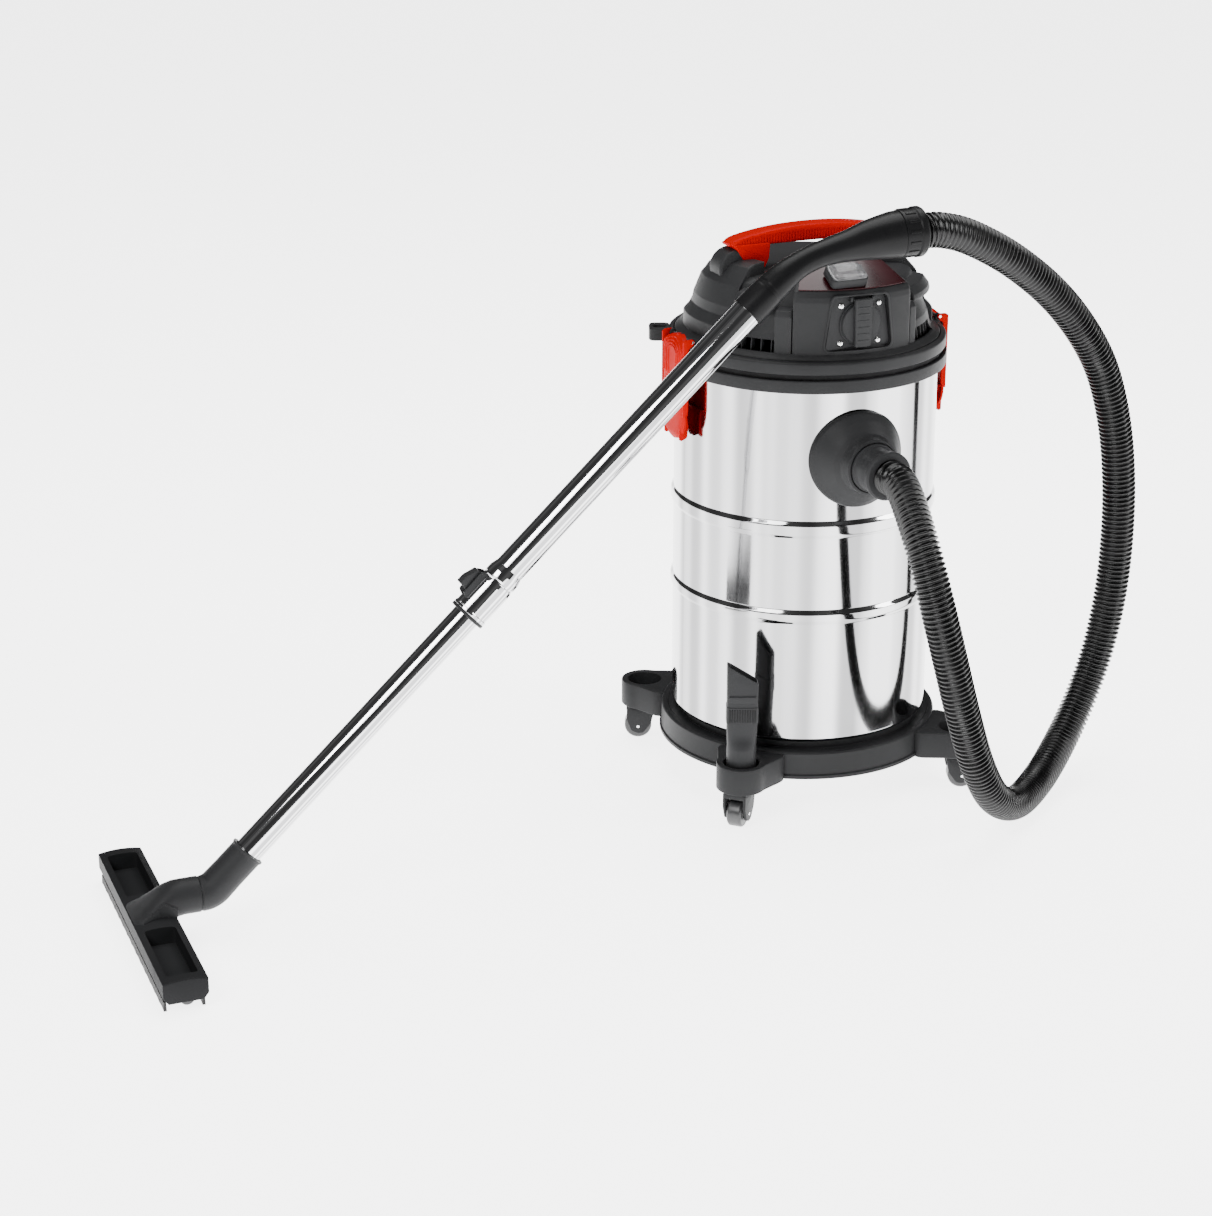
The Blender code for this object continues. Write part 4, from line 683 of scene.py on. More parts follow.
for bearing, spread in ((-138, 15), (-49, 13), (50, 14), (130, 14)):
    t = np.radians(np.linspace(bearing - spread, bearing + spread, 12))
    arc = np.stack([np.cos(t), np.sin(t)], -1)
    slot_plan = np.vstack([0.128 * arc, 0.160 * arc[::-1]])
    prism = np.array([np.column_stack([slot_plan, np.full(24, height)]) for height in (0.5590, 0.5720)])
    carve(cover, surface("vent_cutter", prism))
    for index, angle in enumerate(np.linspace(bearing - spread, bearing + spread, 7)[1:-1]):
        fin_place = Matrix.Rotation(math.radians(angle), 4, "Z")
        vent_fin = slab(f"vent_fin_{bearing % 360}_{index}", fin, -0.0008, 0.0008, 0.0003, fin_place)
        wear(vent_fin, BLACK, "head")
wear(cover, BLACK, "head", ["head_cover"])

boss = rounded(
    [(0.0004, -0.0158), (0.0195, -0.0158), (0.0222, -0.0140), (0.0222, 0.0140), (0.0195, 0.0158),
     (0.0004, 0.0158)],
    [0, 0.001, 0.003, 0.003, 0.001, 0],
)
for side, sign in (("left", -1), ("right", 1)):
    wear(turned(f"handle_boss_{side}", boss, 96, lying(sign * 0.0985, 0.6340)), BLACK, "head")

block_outline = rounded(
    [(0.1150, 0.5545), (0.1485, 0.5545), (0.1490, 0.5600), (0.1488, 0.6180), (0.1478, 0.6240),
     (0.1450, 0.6298), (0.1010, 0.6530), (0.0985, 0.6528), (0.0960, 0.6500), (0.0950, 0.6280)],
    [0, 0.002, 0.002, 0.004, 0.004, 0.004, 0.003, 0.002, 0.002, 0],
)


def sector(name, outline, start, end, steps=40, edge=0.004):
    """An outline (radius, height) swung about Z from start to end degrees. Near each end the outline
    shrinks towards its middle along a quarter circle, which rounds the sector's two end faces."""
    t = np.linspace(0, 1, 7)
    middle = outline.mean(0)
    size = np.abs(outline - middle).max()
    reach = math.degrees(edge / outline[:, 0].max())
    round_in = 1 - edge / size * (1 - np.sqrt(np.clip(1 - (1 - t) ** 2, 0, 1)))
    angle = np.r_[start + reach * t, np.linspace(start + reach, end - reach, steps)[1:-1],
                  end - reach * t[::-1]]
    scale = np.r_[round_in, np.ones(steps - 2), round_in[::-1]]
    angle = np.radians(angle)[:, None]
    flat = middle + (outline - middle)[None] * scale[:, None, None]
    points = np.stack([flat[:, :, 0] * np.cos(angle), flat[:, :, 0] * np.sin(angle), flat[:, :, 1]], -1)
    return surface(name, points)


socket_x, socket_z = -0.005, 0.592
block = sector("front_block", block_outline, -123, -65)
pocket = rounded([(-0.0490, 0.5625), (0.0345, 0.5625), (0.0258, 0.6245), (-0.0405, 0.6245)], 0.008, 7)
carve(block, slab("pocket_cutter", pocket, -0.1700, -0.1385, 0.002))
drill(block, socket_x, socket_z, 0.0222, -0.1400, 0.0225)
wear(block, BLACK, "head")
# the pocket's raised edge: five outlines, each standing so far proud of the block's round face
margin = rounded([(-0.0515, 0.5600), (0.0370, 0.5600), (0.0280, 0.6268), (-0.0428, 0.6268)], 0.009, 7)
plan = np.stack([margin, margin, (margin + pocket) / 2, pocket, pocket])
proud = np.array([0, 0.0016, 0.0022, 0.0016, 0])[:, None]
edge = np.stack([plan[..., 0], -(np.sqrt(0.1480**2 - plan[..., 0] ** 2) + proud), plan[..., 1]], -1)
wear(surface("pocket_frame", edge, wrap_rows=True, sharp=60), BLACK, "head")

shoulder = rounded(
    [(0.0800, 0.5560), (0.1465, 0.5560), (0.1460, 0.5785), (0.1365, 0.5885), (0.1345, 0.6000),
     (0.1255, 0.6227), (0.1080, 0.6420), (0.0980, 0.6450), (0.0800, 0.6450)],
    [0, 0.001, 0.003, 0.003, 0.006, 0.006, 0.006, 0.003, 0],
)
ledge = [(0.1150, 0.6040), (0.1420, 0.6040), (0.1400, 0.6110), (0.1330, 0.6200), (0.1150, 0.6240)]
ledge = rounded(ledge, 0.002)
pillar = rounded([(0.1200, 0.5550), (0.1480, 0.5550), (0.1480, 0.6010), (0.1440, 0.6070), (0.1200, 0.6075)],
                 [0, 0.001, 0.003, 0.002, 0])
for name, outline, start, end, steps, edge in (
    ("cover_shoulder_left", shoulder, 160, 205, 30, 0.003),
    ("cover_shoulder_right", shoulder, -25, 20, 30, 0.003),
    ("cover_step_left", ledge, -153.5, -133, 16, 0.002),
    ("cover_step_right", ledge, -58, -26.5, 16, 0.002),
    ("cover_pillar", pillar, -131, -123.5, 8, 0.002),
    ("cover_pillar_right", pillar, -64.5, -60, 8, 0.002),
):
    wear(sector(name, outline, start, end, steps, edge), BLACK, "head")

# ---------------------------------------------------------------- carry handle
# The handle is one vivid red moulding: an arched bar, ribbed underneath for the fingers, whose ends turn
# down in wedges onto the bosses.

RED = Paint("red_moulding", IOR=1.10, Specular_IOR_Level=0.30)
blush = RED.noise(14.0, 3.0).between(0.35, 0.65)
RED.feed("Base Color", blush.mix((0.33, 0.0, 0.0, 1), (0.37, 0.0, 0.0, 1)))
RED.feed("Roughness", RED.noise(60.0, 5.0).between(0.4, 0.7) * 0.06 + 0.36)
RED.bump(RED.noise(2200.0), 0.12, 0.0001)

# the bar's section is a soft rectangle between its arched top and its nearly level underside
along = np.linspace(-1, 1, 241)[:, None]
top = 0.6792 - 0.0135 * np.abs(along) ** 2.2
under = 0.6590 - 0.0015 * along**2
close = np.clip(1 - np.abs(along) ** 24, 0.35, 1)
rib = 1 - 0.07 * (np.arange(241)[:, None] % 4 < 2) * (np.abs(along) < 0.86)
ring = superellipse(0.0138 * close**0.3, (top - under) * close / 2, 5)
y = ring[..., 0] * np.where(ring[..., 1] < 0.003, rib, 1.0)
bar = np.stack([np.broadcast_to(along * 0.1070, y.shape), y, (top + under) / 2 + ring[..., 1]], -1)
wear(surface("handle_bar", bar, sharp=50), RED, "head", ["carry_handle"])
leg_outline = [(0.1030, 0.6620), (0.0850, 0.6335), (0.0640, 0.6335), (0.0590, 0.6440), (0.0575, 0.6620)]
for side, sign in (("left", -1), ("right", 1)):
    leg = rounded(mirrored(leg_outline, sign), [0.002, 0.004, 0.002, 0.003, 0.002])
    wear(slab(f"handle_leg_{side}", leg, -0.0165, 0.0165, 0.0015), RED, "head")

# ---------------------------------------------------------------- socket
# A shuttered socket for a power tool: a grey plate held by four bright screws, a round contact cup, and a
# sprung round flap with a thick tab down its middle.

plate = rounded([(-0.0480, 0.5632), (0.0335, 0.5632), (0.0248, 0.6238), (-0.0398, 0.6238)], 0.006, 7)
plate_piece = slab("socket_mounting_plate", plate, -0.1419, -0.1389, 0.0006)
drill(plate_piece, socket_x, socket_z, 0.0219, -0.15, 0.02)
wear(plate_piece, GREY, "head", ["socket_plate"])
collar = [(0.0225, 0.1415), (0.0262, 0.1415), (0.0262, 0.1432), (0.0254, 0.1440), (0.0225, 0.1440)]
collar = rounded(collar, 0.0004)
socket_axis = lying(socket_x, socket_z)
wear(turned("socket_collar", collar, 96, socket_axis, wrap=True), GREY, "head")
for side, start in (("left", -0.0200), ("right", 0.0070)):
    ear = rounded(oblong(-0.1475, -0.1410, 0.6180, 0.6236), 0.0016)
    wear(slab(f"flap_ear_{side}", ear, start, start + 0.0030, 0.0004, None, "X"), GREY, "head")
disc = rounded([(0.0004, 0.1434), (0.0243, 0.1434), (0.0245, 0.1450), (0.0235, 0.1468), (0.0120, 0.1474),
                (0.0004, 0.1474)],
               [0, 0.0003, 0.0006, 0.001, 0.004, 0])
wear(turned("socket_flap_disc", disc, 96, socket_axis), GREY, "socket_cover", ["socket_flap"])
tab = rounded([(-0.0100, 0.5660), (0.0100, 0.5660), (0.0110, 0.6215), (-0.0110, 0.6215)],
              [0.0025, 0.0025, 0.002, 0.002])
tab_place = Matrix.Translation((socket_x, 0, 0))
wear(slab("socket_flap_tab", tab, -0.1514, -0.1462, 0.0012, tab_place), GREY, "socket_cover")
for index, height in enumerate(np.linspace(0.5735, 0.6115, 6)):
    bar = rounded(oblong(-0.0075, 0.0075, height - 0.0009, height + 0.0009), 0.0006)
    wear(slab(f"flap_grip_{index}", bar, -0.1518, -0.1508, 0.0004, tab_place), GREY, "socket_cover")

SCREW = polished("screw_zinc", (0.86, 0.86, 0.85), 0.14)
screw_head = rounded(
    [(0.0012, 0.1405), (0.0034, 0.1418), (0.0034, 0.1426), (0.0024, 0.1438), (0.0010, 0.1441),
     (0.0006, 0.1430), (0.0002, 0.1428)],
    [0, 0, 0.0004, 0.0006, 0.0001, 0.0001, 0],
)
corners = ((-0.0245, 0.0215), (0.0225, 0.0215), (-0.0245, -0.0215), (0.0225, -0.0215))
for index, (dx, dz) in enumerate(corners, 1):
    place = lying(socket_x + dx, socket_z + dz)
    wear(turned(f"plate_screw_{index}", screw_head, 32, place), SCREW, "head", [f"socket_screw_{index}"])

# ---------------------------------------------------------------- switch and panel
# A glossy dark red panel faces the block's sloping top. The power switch sits in a small black housing on
# it under a clear flexible splash cover.

MAROON = Paint("maroon_panel", IOR=1.3, Coat_Weight=0.08, Coat_Roughness=0.10)
depth = MAROON.noise(16.0).between(0.35, 0.65)
MAROON.feed("Base Color", depth.mix((0.016, 0.001, 0.002, 1), (0.024, 0.002, 0.004, 1)))
MAROON.feed("Roughness", depth * 0.06 + 0.24)
tilt = math.radians(28)
slope = Vector((-math.cos(tilt), math.sin(tilt)))
lift = Vector((math.sin(tilt), math.cos(tilt)))


def on_slope(distance, rise):
    """A point (radius, height) on the block's sloping top, rise above it."""
    return np.array(Vector((0.146, 0.629)) + slope * distance + lift * rise)


panel = rounded([on_slope(*corner) for corner in oblong(0.003, 0.049, 0.0004, 0.0019)], 0.0005)
wear(sector("switch_panel", panel, -121.0, -67.0, 40, 0.0007), MAROON, "head", ["head_panel"])
switch_place = Matrix.Translation((-0.019, -0.12763, 0.63876)) @ Matrix.Rotation(tilt, 4, "X")
box_rows = [
    (0.0020, 0.0220, 0.0145, 9, 0), (0.0025, 0.0224, 0.0148, 9, 0), (0.0115, 0.0222, 0.0146, 9, 0),
    (0.0125, 0.0214, 0.0138, 9, 0), (0.0125, 0.0160, 0.0106, 9, 0), (0.0050, 0.0156, 0.0102, 9, 0),
]
switch_box = surface("switch_box", moved(stacked(box_rows), switch_place), sharp=50)
wear(switch_box, BLACK, "head", ["switch_housing"])
CLEAR = Paint("clear_cover", IOR=1.48, Alpha=0.30, Coat_Weight=0.8, Coat_Roughness=0.03)
cloud = CLEAR.noise(120.0, 3.0).between(0.4, 0.7)
CLEAR.feed("Base Color", cloud.mix((0.10, 0.10, 0.105, 1), (0.30, 0.30, 0.31, 1)))
CLEAR.feed("Roughness", cloud * 0.08 + 0.05)
CLEAR.bump(CLEAR.noise(160.0, 3.0), 0.35, 0.0010)
cover_rows = [
    (0.0127, 0.0212, 0.0136, 7, 0), (0.0140, 0.0214, 0.0137, 7, 0), (0.0150, 0.0185, 0.0118, 6, 0),
    (0.0185, 0.0172, 0.0110, 5, 0), (0.0202, 0.0150, 0.0095, 4, 0), (0.0206, 0.0100, 0.0060, 3, 0),
    (0.0206, 0.0010, 0.0010, 2, 0),
]
splash_cover = surface("splash_cover", moved(stacked(cover_rows), switch_place), sharp=60)
wear(splash_cover, CLEAR, "head", ["switch_cover"])
finish_with(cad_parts["switch_rocker"], MAROON)

# ---------------------------------------------------------------- clamps
# Two red over-centre clamps hang on pins at the sides: a crowned face with raised rings for the thumb,
# turned-in side walls, and a narrower rounded foot that hooks the rim.

# The face is a grid over v across and z up. Its half width narrows smoothly to the foot and closes in a
# quarter ellipse at each end. Its front is 0.173 from the axis, bent back at all its edges, with rings where
# the thumb presses.
v, z = np.meshgrid(np.linspace(-1, 1, 61), np.linspace(0.4375, 0.5611, 121), indexing="ij")
foot_share = np.clip((z - 0.4375) / 0.030, 0, 1)
wide = 0.0230 + 0.0080 * (foot_share**2 * (3 - 2 * foot_share))
crest = np.sqrt(1 - np.clip((z - 0.5405) / 0.0207, 0, 1) ** 2)
sole = np.sqrt(1 - np.clip((0.4545 - z) / 0.0171, 0, 1) ** 2)
y = v * wide * crest * sole
ring = np.hypot(y, 1.5 * np.clip(z - 0.5405, 0, 1))
relief = np.clip(3 * np.sin(ring / 0.0050 * 2 * np.pi), 0, 1) * (ring > 0.010)
relief *= 0.0010 * np.clip((z - 0.5120) / 0.004, 0, 1)
crown = 0.1730 - 0.0030 * np.abs(v) ** 6 - 0.0080 * np.clip((z - 0.5480) / 0.0131, 0, 1) ** 2
crown = crown - 0.0030 * np.clip((0.4480 - z) / 0.0105, 0, 1) ** 2
front = np.stack([crown + relief, y, z], -1)
back = np.stack([crown - 0.0028, y * 0.985, z], -1)
face = np.concatenate([front, back[::-1]])
wall_outline = [
    (0.1725, 0.4690), (0.1725, 0.5585), (0.1690, 0.5608), (0.1605, 0.5611), (0.1572, 0.5575),
    (0.1600, 0.5540), (0.1656, 0.5495), (0.1656, 0.4760), (0.1680, 0.4700),
]
wall_bend = [0.001, 0.002, 0.002, 0.0035, 0.0035, 0.002, 0.001, 0.004, 0.002]
foot_outline = [
    (0.1700, 0.4385), (0.1725, 0.4400), (0.1725, 0.4760), (0.1640, 0.4720), (0.1612, 0.4560),
    (0.1625, 0.4420),
]
foot_bend = [0.002, 0.001, 0.001, 0.004, 0.006, 0.004]
web_outline = [(0.1722, 0.4690), (0.1722, 0.4715), (0.1650, 0.4730), (0.1650, 0.4705)]
hook_outline = [(0.1725, 0.5140), (0.1656, 0.5140), (0.1672, 0.5060), (0.1725, 0.5010)]
for side, sign in (("left", -1), ("right", 1)):
    body = f"clamp_{side}"
    clamp = surface(
        f"clamp_face_{side}", face * (sign, 1, 1), wrap_rows=True, wrap_columns=False, caps=False, sharp=28
    )
    mesh = bmesh.new()
    mesh.from_mesh(clamp.data)
    bmesh.ops.holes_fill(mesh, edges=[edge for edge in mesh.edges if edge.is_boundary])
    bmesh.ops.recalc_face_normals(mesh, faces=mesh.faces)
    mesh.to_mesh(clamp.data)
    mesh.free()
    clamp.data.set_sharp_from_angle(angle=math.radians(28))
    wear(clamp, RED, body, [f"latch_{side}"])
    for name, outline, bend, start, end, edge in (
        ("wall_{}_front", wall_outline, wall_bend, -0.0308, -0.0284, 0.0005),
        ("foot_{}_front", foot_outline, foot_bend, -0.0224, -0.0196, 0.0005),
        ("wall_{}_back", wall_outline, wall_bend, 0.0284, 0.0308, 0.0005),
        ("foot_{}_back", foot_outline, foot_bend, 0.0196, 0.0224, 0.0005),
        ("web_{}", web_outline, 0.0006, -0.0286, 0.0286, 0.0004),
        ("hook_{}", hook_outline, 0.001, -0.0180, 0.0180, 0.0005),
    ):
        plate = rounded(mirrored(outline, sign), bend)
        wear(slab("clamp_" + name.format(side), plate, start, end, edge), RED, body)
for name in ("latch_pin_left", "latch_pin_right", "flap_pin"):
    finish_with(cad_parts[name], AXLE)

# ---------------------------------------------------------------- pieces inside the head
# Under the deck hang the float cage and its ball inside a pleated paper cartridge; above it stand the fan
# motor and its fan. The seal lies between the rim and the head, and the lead's gland is at the back.

PAPER = Paint("filter_paper", Roughness=0.9)
fibre = PAPER.noise(240.0, 5.0).between(0.35, 0.65)
PAPER.feed("Base Color", fibre.mix((0.66, 0.62, 0.52, 1), (0.78, 0.75, 0.66, 1)))
PAPER.bump(PAPER.noise(900.0, 3.0), 0.4, 0.0003)
angle = np.linspace(0, 2 * np.pi, 480, endpoint=False)
pleat = 0.0790 - 0.0075 * np.abs(((angle * 60 / (2 * np.pi)) % 1) * 2 - 1)
plain = np.array([0.00125, 0, 0, 0.0622, 0.0622, 0.0020])[:, None]
radius = plain + pleat * (plain == 0)
height = np.array([0.4008, 0.4008, 0.5372, 0.5372, 0.4030, 0.4030])[:, None]
paper = np.stack([radius * np.cos(angle), radius * np.sin(angle), np.broadcast_to(height, radius.shape)],
                 -1)
wear(surface("pleated_cartridge", paper, sharp=30), PAPER, "head", ["filter_element"])
for index, height in enumerate((0.3950, 0.5290)):
    hoop = rounded(oblong(0.0625, 0.0799, height, height + 0.0080), 0.001)
    wear(turned(f"cartridge_cap_{index}", hoop, 96, wrap=True), BLACK, "head")

RUBBER = moulded("seal_rubber", (0.0080, 0.0080, 0.0084), 0.66, 0.2)
WHITE = moulded("float_white", (0.72, 0.72, 0.70), 0.40, 0.15, 0.03)
STEEL = polished("plain_steel", (0.50, 0.50, 0.51), 0.28, 0.03)
for paint, names in (
    (RUBBER, ("head_seal", "cable_gland")),
    (WHITE, ("float_ball",)),
    (BLACK, ("filter_cage",)),
    (GREY, ("socket_insert",)),
    (STEEL, ("motor_housing", "motor_stator", "rotor_shaft", "impeller")),
):
    for name in names:
        finish_with(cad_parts[name], paint)

# ---------------------------------------------------------------- wand tubes
# Two chromed steel tubes telescope into each other. The upper one ends in a swaged collar, with a ring
# groove near its top and a black spring button in its side that locks the length.

WAND = Matrix.Translation((-0.8605, -0.177, 0)) @ Matrix.Rotation(math.radians(-1.3), 4, "Z")
tube_angle = math.radians(43.2)
mouth_u, mouth_z = 0.1129, 0.0882


def on_tube(distance):
    """A 4 by 4 matrix on the tubes' axis, a distance above the elbow's mouth: Z runs up the tube."""
    spot = (mouth_u + distance * math.cos(tube_angle), 0, mouth_z + distance * math.sin(tube_angle))
    return WAND @ Matrix.Translation(spot) @ Matrix.Rotation(math.pi / 2 - tube_angle, 4, "Y")


CHROME = Paint("chrome_plate", Metallic=1.0)
# painted reflections: the base colour runs in light and dark lengthwise bands round each tube; the same
# bands give a faint bump of draw lines
painted_reflection_and_draw_lines = CHROME.band_noise(CHROME.place("UV").part(0), 22.0, 2.0).between(0.42, 0.60)
CHROME.feed("Base Color", painted_reflection_and_draw_lines.mix((0.34, 0.34, 0.35, 1), (0.80, 0.80, 0.81, 1)))
CHROME.feed("Roughness", CHROME.noise(9.0, 3.0).between(0.4, 0.7) * 0.03 + 0.035)
CHROME.bump(painted_reflection_and_draw_lines, 0.02, 0.0001)
lower = rounded(oblong(0.0149, 0.0158, -0.0250, 0.3920), 0.0003)
wear(turned("lower_wand_tube", lower, 96, on_tube(0), wrap=True), CHROME, "lower_wand", ["lower_tube"])
upper = rounded(oblong(0.0163, 0.0172, 0.3960, 0.8170), 0.0003)
wear(turned("upper_wand_tube", upper, 96, on_tube(0), wrap=True), CHROME, "wand", ["upper_tube"])
swage = rounded(
    [(0.0163, 0.3490), (0.0200, 0.3490), (0.0210, 0.3500), (0.0210, 0.3530), (0.0202, 0.3540),
     (0.0202, 0.3900), (0.0196, 0.3950), (0.0184, 0.3968), (0.0196, 0.3985), (0.0194, 0.4060),
     (0.0176, 0.4130), (0.0173, 0.4140), (0.0173, 0.3990), (0.0163, 0.3900)],
    [0, 0.0005, 0.0008, 0.0008, 0.0006, 0.002, 0.002, 0.0014, 0.002, 0.004, 0.004, 0, 0, 0],
)
wear(turned("swaged_collar", swage, 96, on_tube(0), wrap=True), CHROME, "wand", ["tube_collar"])
guard = rounded([(-0.0180, 0.0080), (-0.0255, 0.0110), (-0.0262, 0.0400), (-0.0180, 0.0440)],
                [0.001, 0.003, 0.003, 0.001])
for end, start in (("front", -0.0085), ("back", 0.0062)):
    wear(slab(f"button_guard_{end}", guard, start, start + 0.0023, 0.0005, on_tube(0.352)), BLACK, "wand")
ring_end = [(0.0162, -0.0040), (0.0208, -0.0040), (0.0212, -0.0020), (0.0208, 0.0), (0.0162, 0.0)]
ring_end = rounded(ring_end, 0.0008)
wear(turned("collar_end_ring", ring_end, 96, on_tube(0.3500), wrap=True), BLACK, "wand")
wedge = rounded([(-0.0235, 0.0148), (-0.0235, 0.0392), (-0.0300, 0.0392), (-0.0350, 0.0250),
                 (-0.0352, 0.0160)],
                [0.001, 0.001, 0.001, 0.003, 0.001])
lock_button = slab("lock_button", wedge, -0.0056, 0.0056, 0.0008, on_tube(0.352))
wear(lock_button, BLACK, "button", ["release_button"])

# ---------------------------------------------------------------- grip
# The grip is a bent black handpiece that swells towards the hose. Its mouth is ringed by two grooves, and
# the hose's cuff is pressed into its wide end behind a stepped shoulder.

grip_line = np.array([
    (0.6905, 0.6309), (0.7075, 0.6460), (0.7200, 0.6570), (0.7340, 0.6680), (0.7500, 0.6780),
    (0.7700, 0.6865), (0.7900, 0.6915), (0.8120, 0.6955), (0.8350, 0.6995), (0.8600, 0.7026),
    (0.8690, 0.7032),
])
grip_radius = np.array([0.0186, 0.0184, 0.0176, 0.0166, 0.0148, 0.0148, 0.0158, 0.0180, 0.0222, 0.0256,
                        0.0262])
line, _ = curve_through(np.column_stack([grip_line, grip_radius]), 150)
path = np.column_stack([line[:, 0], np.zeros(150), line[:, 1]])
reach = np.r_[0, np.cumsum(np.linalg.norm(np.diff(path, axis=0), axis=1))]
radius = line[:, 2].copy()
for centre in (0.0330, 0.0365):
    radius -= 0.0007 * np.exp(-(((reach - centre) / 0.0006) ** 2))
tall = np.interp(reach, [0, 0.06, 0.10, 0.16, 0.2], [1.0, 1.04, 1.06, 1.0, 1.0])
angle = np.linspace(0, 2 * np.pi, 64, endpoint=False)
swell = np.sqrt((np.cos(angle)[None] / tall[:, None]) ** 2 + (np.sin(angle)[None] * tall[:, None]) ** 2)
outer = pipe(path, radius[:, None] * swell, 64, (0, 1, 0))
inner = pipe(path, radius - 0.0009, 64, (0, 1, 0))[::-1]
grip = surface("hand_grip", moved(np.concatenate([outer, inner]), WAND), wrap_rows=True, sharp=50)
wear(grip, HAND, "wand", ["grip"])
cuff_axis = WAND @ Matrix.Translation((0.8695, 0, 0.7037)) @ Matrix.Rotation(math.radians(88), 4, "Y")
cuff = rounded(
    [(0.0203, 0.0), (0.0262, 0.0), (0.0266, 0.0020), (0.0266, 0.0170), (0.0280, 0.0190), (0.0280, 0.0250),
     (0.0268, 0.0272), (0.0203, 0.0276)],
    [0, 0.0005, 0.001, 0.001, 0.001, 0.0015, 0.0015, 0.0005],
)
wear(turned("hose_end_cuff", cuff, 96, cuff_axis, wrap=True), HAND, "wand", ["hose_grip_cuff"])
rib_count = 14
key = rounded(oblong(0.0255, 0.0275, 0.0035, 0.0160), 0.0005)
for index in range(rib_count):
    swing = Matrix.Rotation(2 * math.pi * index / rib_count, 4, "Z")
    wear(slab(f"cuff_rib_{index}", key, -0.0014, 0.0014, 0.0004, cuff_axis @ swing), HAND, "wand")

# ---------------------------------------------------------------- nozzle elbow
# A bent black connector turns in the nozzle's neck and takes the lower tube; its mouth has a thin raised
# lip.

t = np.linspace(0, tube_angle, 24)
bend = 0.024
neck_z = 0.047
start_u = mouth_u - (mouth_z - neck_z) / math.tan(tube_angle) - bend * math.tan(tube_angle / 2)
arc = np.stack([start_u + bend * np.sin(t), neck_z + bend * (1 - np.cos(t))], -1)
straight = arc[-1] + np.linspace(0.02, 1, 30)[:, None] * (np.array([mouth_u, mouth_z]) - arc[-1])
line = np.vstack([[0.0570, neck_z], arc, straight])
path = np.column_stack([line[:, 0], np.zeros(len(line)), line[:, 1]])
reach = np.r_[0, np.cumsum(np.linalg.norm(np.diff(path, axis=0), axis=1))]
stations = [0, 0.001, 0.010, 0.040, reach[-1] - 0.0022, reach[-1] - 0.0018, reach[-1]]
radius = np.interp(reach, stations, [0.0186, 0.0194, 0.0196, 0.0188, 0.0188, 0.0199, 0.0199])
outer = pipe(path, radius, 64, (0, 1, 0))
inner = pipe(path, np.full(len(path), 0.0162), 64, (0, 1, 0))[::-1]
elbow = surface("elbow_connector", moved(np.concatenate([outer, inner]), WAND), wrap_rows=True, sharp=40)
wear(elbow, GREY, "lower_wand", ["nozzle_elbow"])

# ---------------------------------------------------------------- floor nozzle
# The floor head is a long hollow moulding with an arched end, two open trays in its top, a sturdy neck in
# the middle, bristle strips along both lower edges and a small roller under each end.

arch_u = np.linspace(0.0275, -0.0205, 13)
arch_z = 0.0336 + 0.0026 * (1 - ((arch_u - 0.0035) / 0.024) ** 2)
sole = [(-0.0205, 0.0170), (-0.0150, 0.0100), (0.0220, 0.0100), (0.0275, 0.0170)]
section = np.vstack([sole, np.column_stack([arch_u, arch_z])])


def upright_box(name, left, right, front, back, bottom, top):
    """A plain box, as two rectangles one above the other."""
    plan = oblong(left, right, front, back)
    return surface(name, np.array([[(*corner, height) for corner in plan] for height in (bottom, top)]))


nozzle = slab("nozzle_shell", section, -0.1668, 0.1668, 0.0014)
for end, sign in (("far", 1), ("near", -1)):
    a, b = sorted((sign * 0.0430, sign * 0.1530))
    tray = rounded(oblong(-0.0135, 0.0205, a, b), 0.004)
    tray_rows = [np.column_stack([tray.mean(0) + (tray - tray.mean(0)) * share, np.full(len(tray), height)])
                 for share, height in ((0.90, 0.0180), (0.93, 0.0180), (1.0, 0.0400))]
    carve(nozzle, surface("tray_cutter", np.array(tray_rows)))
    a, b = sorted((sign * 0.1420, sign * 0.1580))
    carve(nozzle, upright_box("roller_cutter", -0.004, 0.018, a, b, -0.01, 0.0175))
carve(nozzle, upright_box("slot_cutter", -0.010, 0.016, -0.137, 0.137, -0.01, 0.0165))
nozzle.data.transform(WAND)
NOZZLE = moulded("nozzle_black", (0.0150, 0.0152, 0.0160), 0.52, shine=0.12)
wear(nozzle, NOZZLE, "nozzle", ["nozzle_body"])

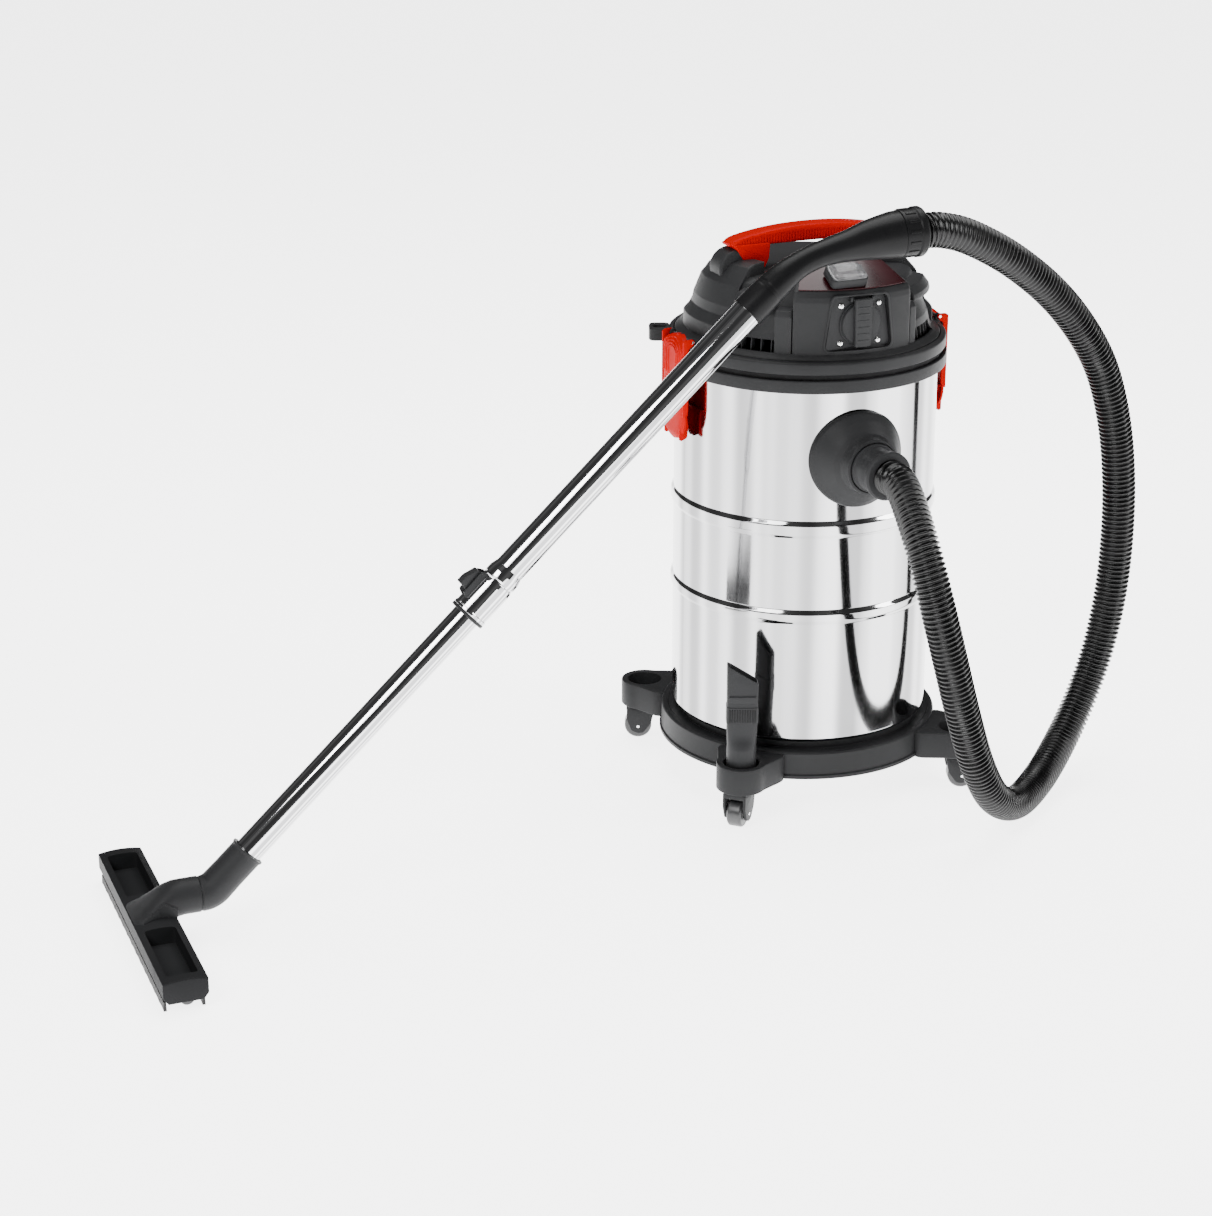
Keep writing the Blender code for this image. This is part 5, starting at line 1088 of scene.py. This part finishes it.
# the neck grows out of the shell: each row is (u, half width, lowest, highest, power) of a ring square to u
u, wide, lowest, highest, power = np.array([
    (-0.0195, 0.0330, 0.0300, 0.0335, 4), (-0.0185, 0.0335, 0.0250, 0.0345, 4),
    (-0.0100, 0.0300, 0.0250, 0.0400, 4), (0.0000, 0.0255, 0.0230, 0.0480, 3.5),
    (0.0100, 0.0215, 0.0220, 0.0560, 3), (0.0200, 0.0200, 0.0240, 0.0625, 2.6),
    (0.0290, 0.0196, 0.0262, 0.0660, 2.2), (0.0380, 0.0196, 0.0272, 0.0668, 2),
    (0.0560, 0.0197, 0.0273, 0.0667, 2), (0.0565, 0.0190, 0.0280, 0.0660, 2),
]).T[:, :, None]
ring = superellipse(wide, (highest - lowest) / 2, power)
height = (highest + lowest) / 2 + ring[..., 1]
neck = np.stack([np.broadcast_to(u, height.shape), ring[..., 0], height], -1)
wear(surface("nozzle_neck", moved(neck, WAND), sharp=40), GREY, "nozzle")
web = rounded([(-0.0100, 0.0300), (0.0240, 0.0240), (0.0275, 0.0300), (0.0300, 0.0430), (0.0140, 0.0520),
               (-0.0080, 0.0380)], 0.004)
for side, sign in (("far", 1), ("near", -1)):
    start = sign * 0.0205 - 0.0013
    wear(slab(f"neck_web_{side}", web, start, start + 0.0026, 0.0008, WAND), GREY, "nozzle")

BRISTLE = Paint("bristle_black", Roughness=0.7)
strand = BRISTLE.noise(700.0, 2.0, (1, 1, 0.05)).between(0.4, 0.6)
BRISTLE.feed("Base Color", strand.mix((0.002, 0.002, 0.002, 1), (0.008, 0.008, 0.0085, 1)))
BRISTLE.bump(strand, 0.8, 0.0006)
for name, u in (("front", -0.0178), ("rear", 0.0226)):
    y = np.linspace(-0.1600, 0.1600, 336)
    hang = 0.0002 + 0.0012 * np.abs(np.sin(np.linspace(0, np.pi * 14, len(y))))
    strip = np.empty((len(y), 4, 3))
    strip[..., 0] = u - 0.0013 + np.array([0, -0.0004, 0.0030, 0.0026])
    strip[..., 1] = y[:, None]
    strip[..., 2] = np.where([True, False, False, True], 0.0105, hang[:, None])
    bristles = surface(f"bristle_strip_{name}", moved(strip, WAND), sharp=30)
    wear(bristles, BRISTLE, "nozzle", [f"brush_strip_{name}"])
roller = rounded(
    [(0.0004, -0.0060), (0.0066, -0.0060), (0.0080, -0.0040), (0.0080, 0.0040), (0.0066, 0.0060),
     (0.0004, 0.0060)],
    [0, 0.001, 0.002, 0.002, 0.001, 0],
)
for end, sign in (("far", 1), ("near", -1)):
    place = WAND @ lying(0.0070, 0.008, sign * 0.150)
    wear(turned(f"nozzle_wheel_{end}", roller, 48, place), WHEEL, f"{end}_roller", [f"roller_{end}"])
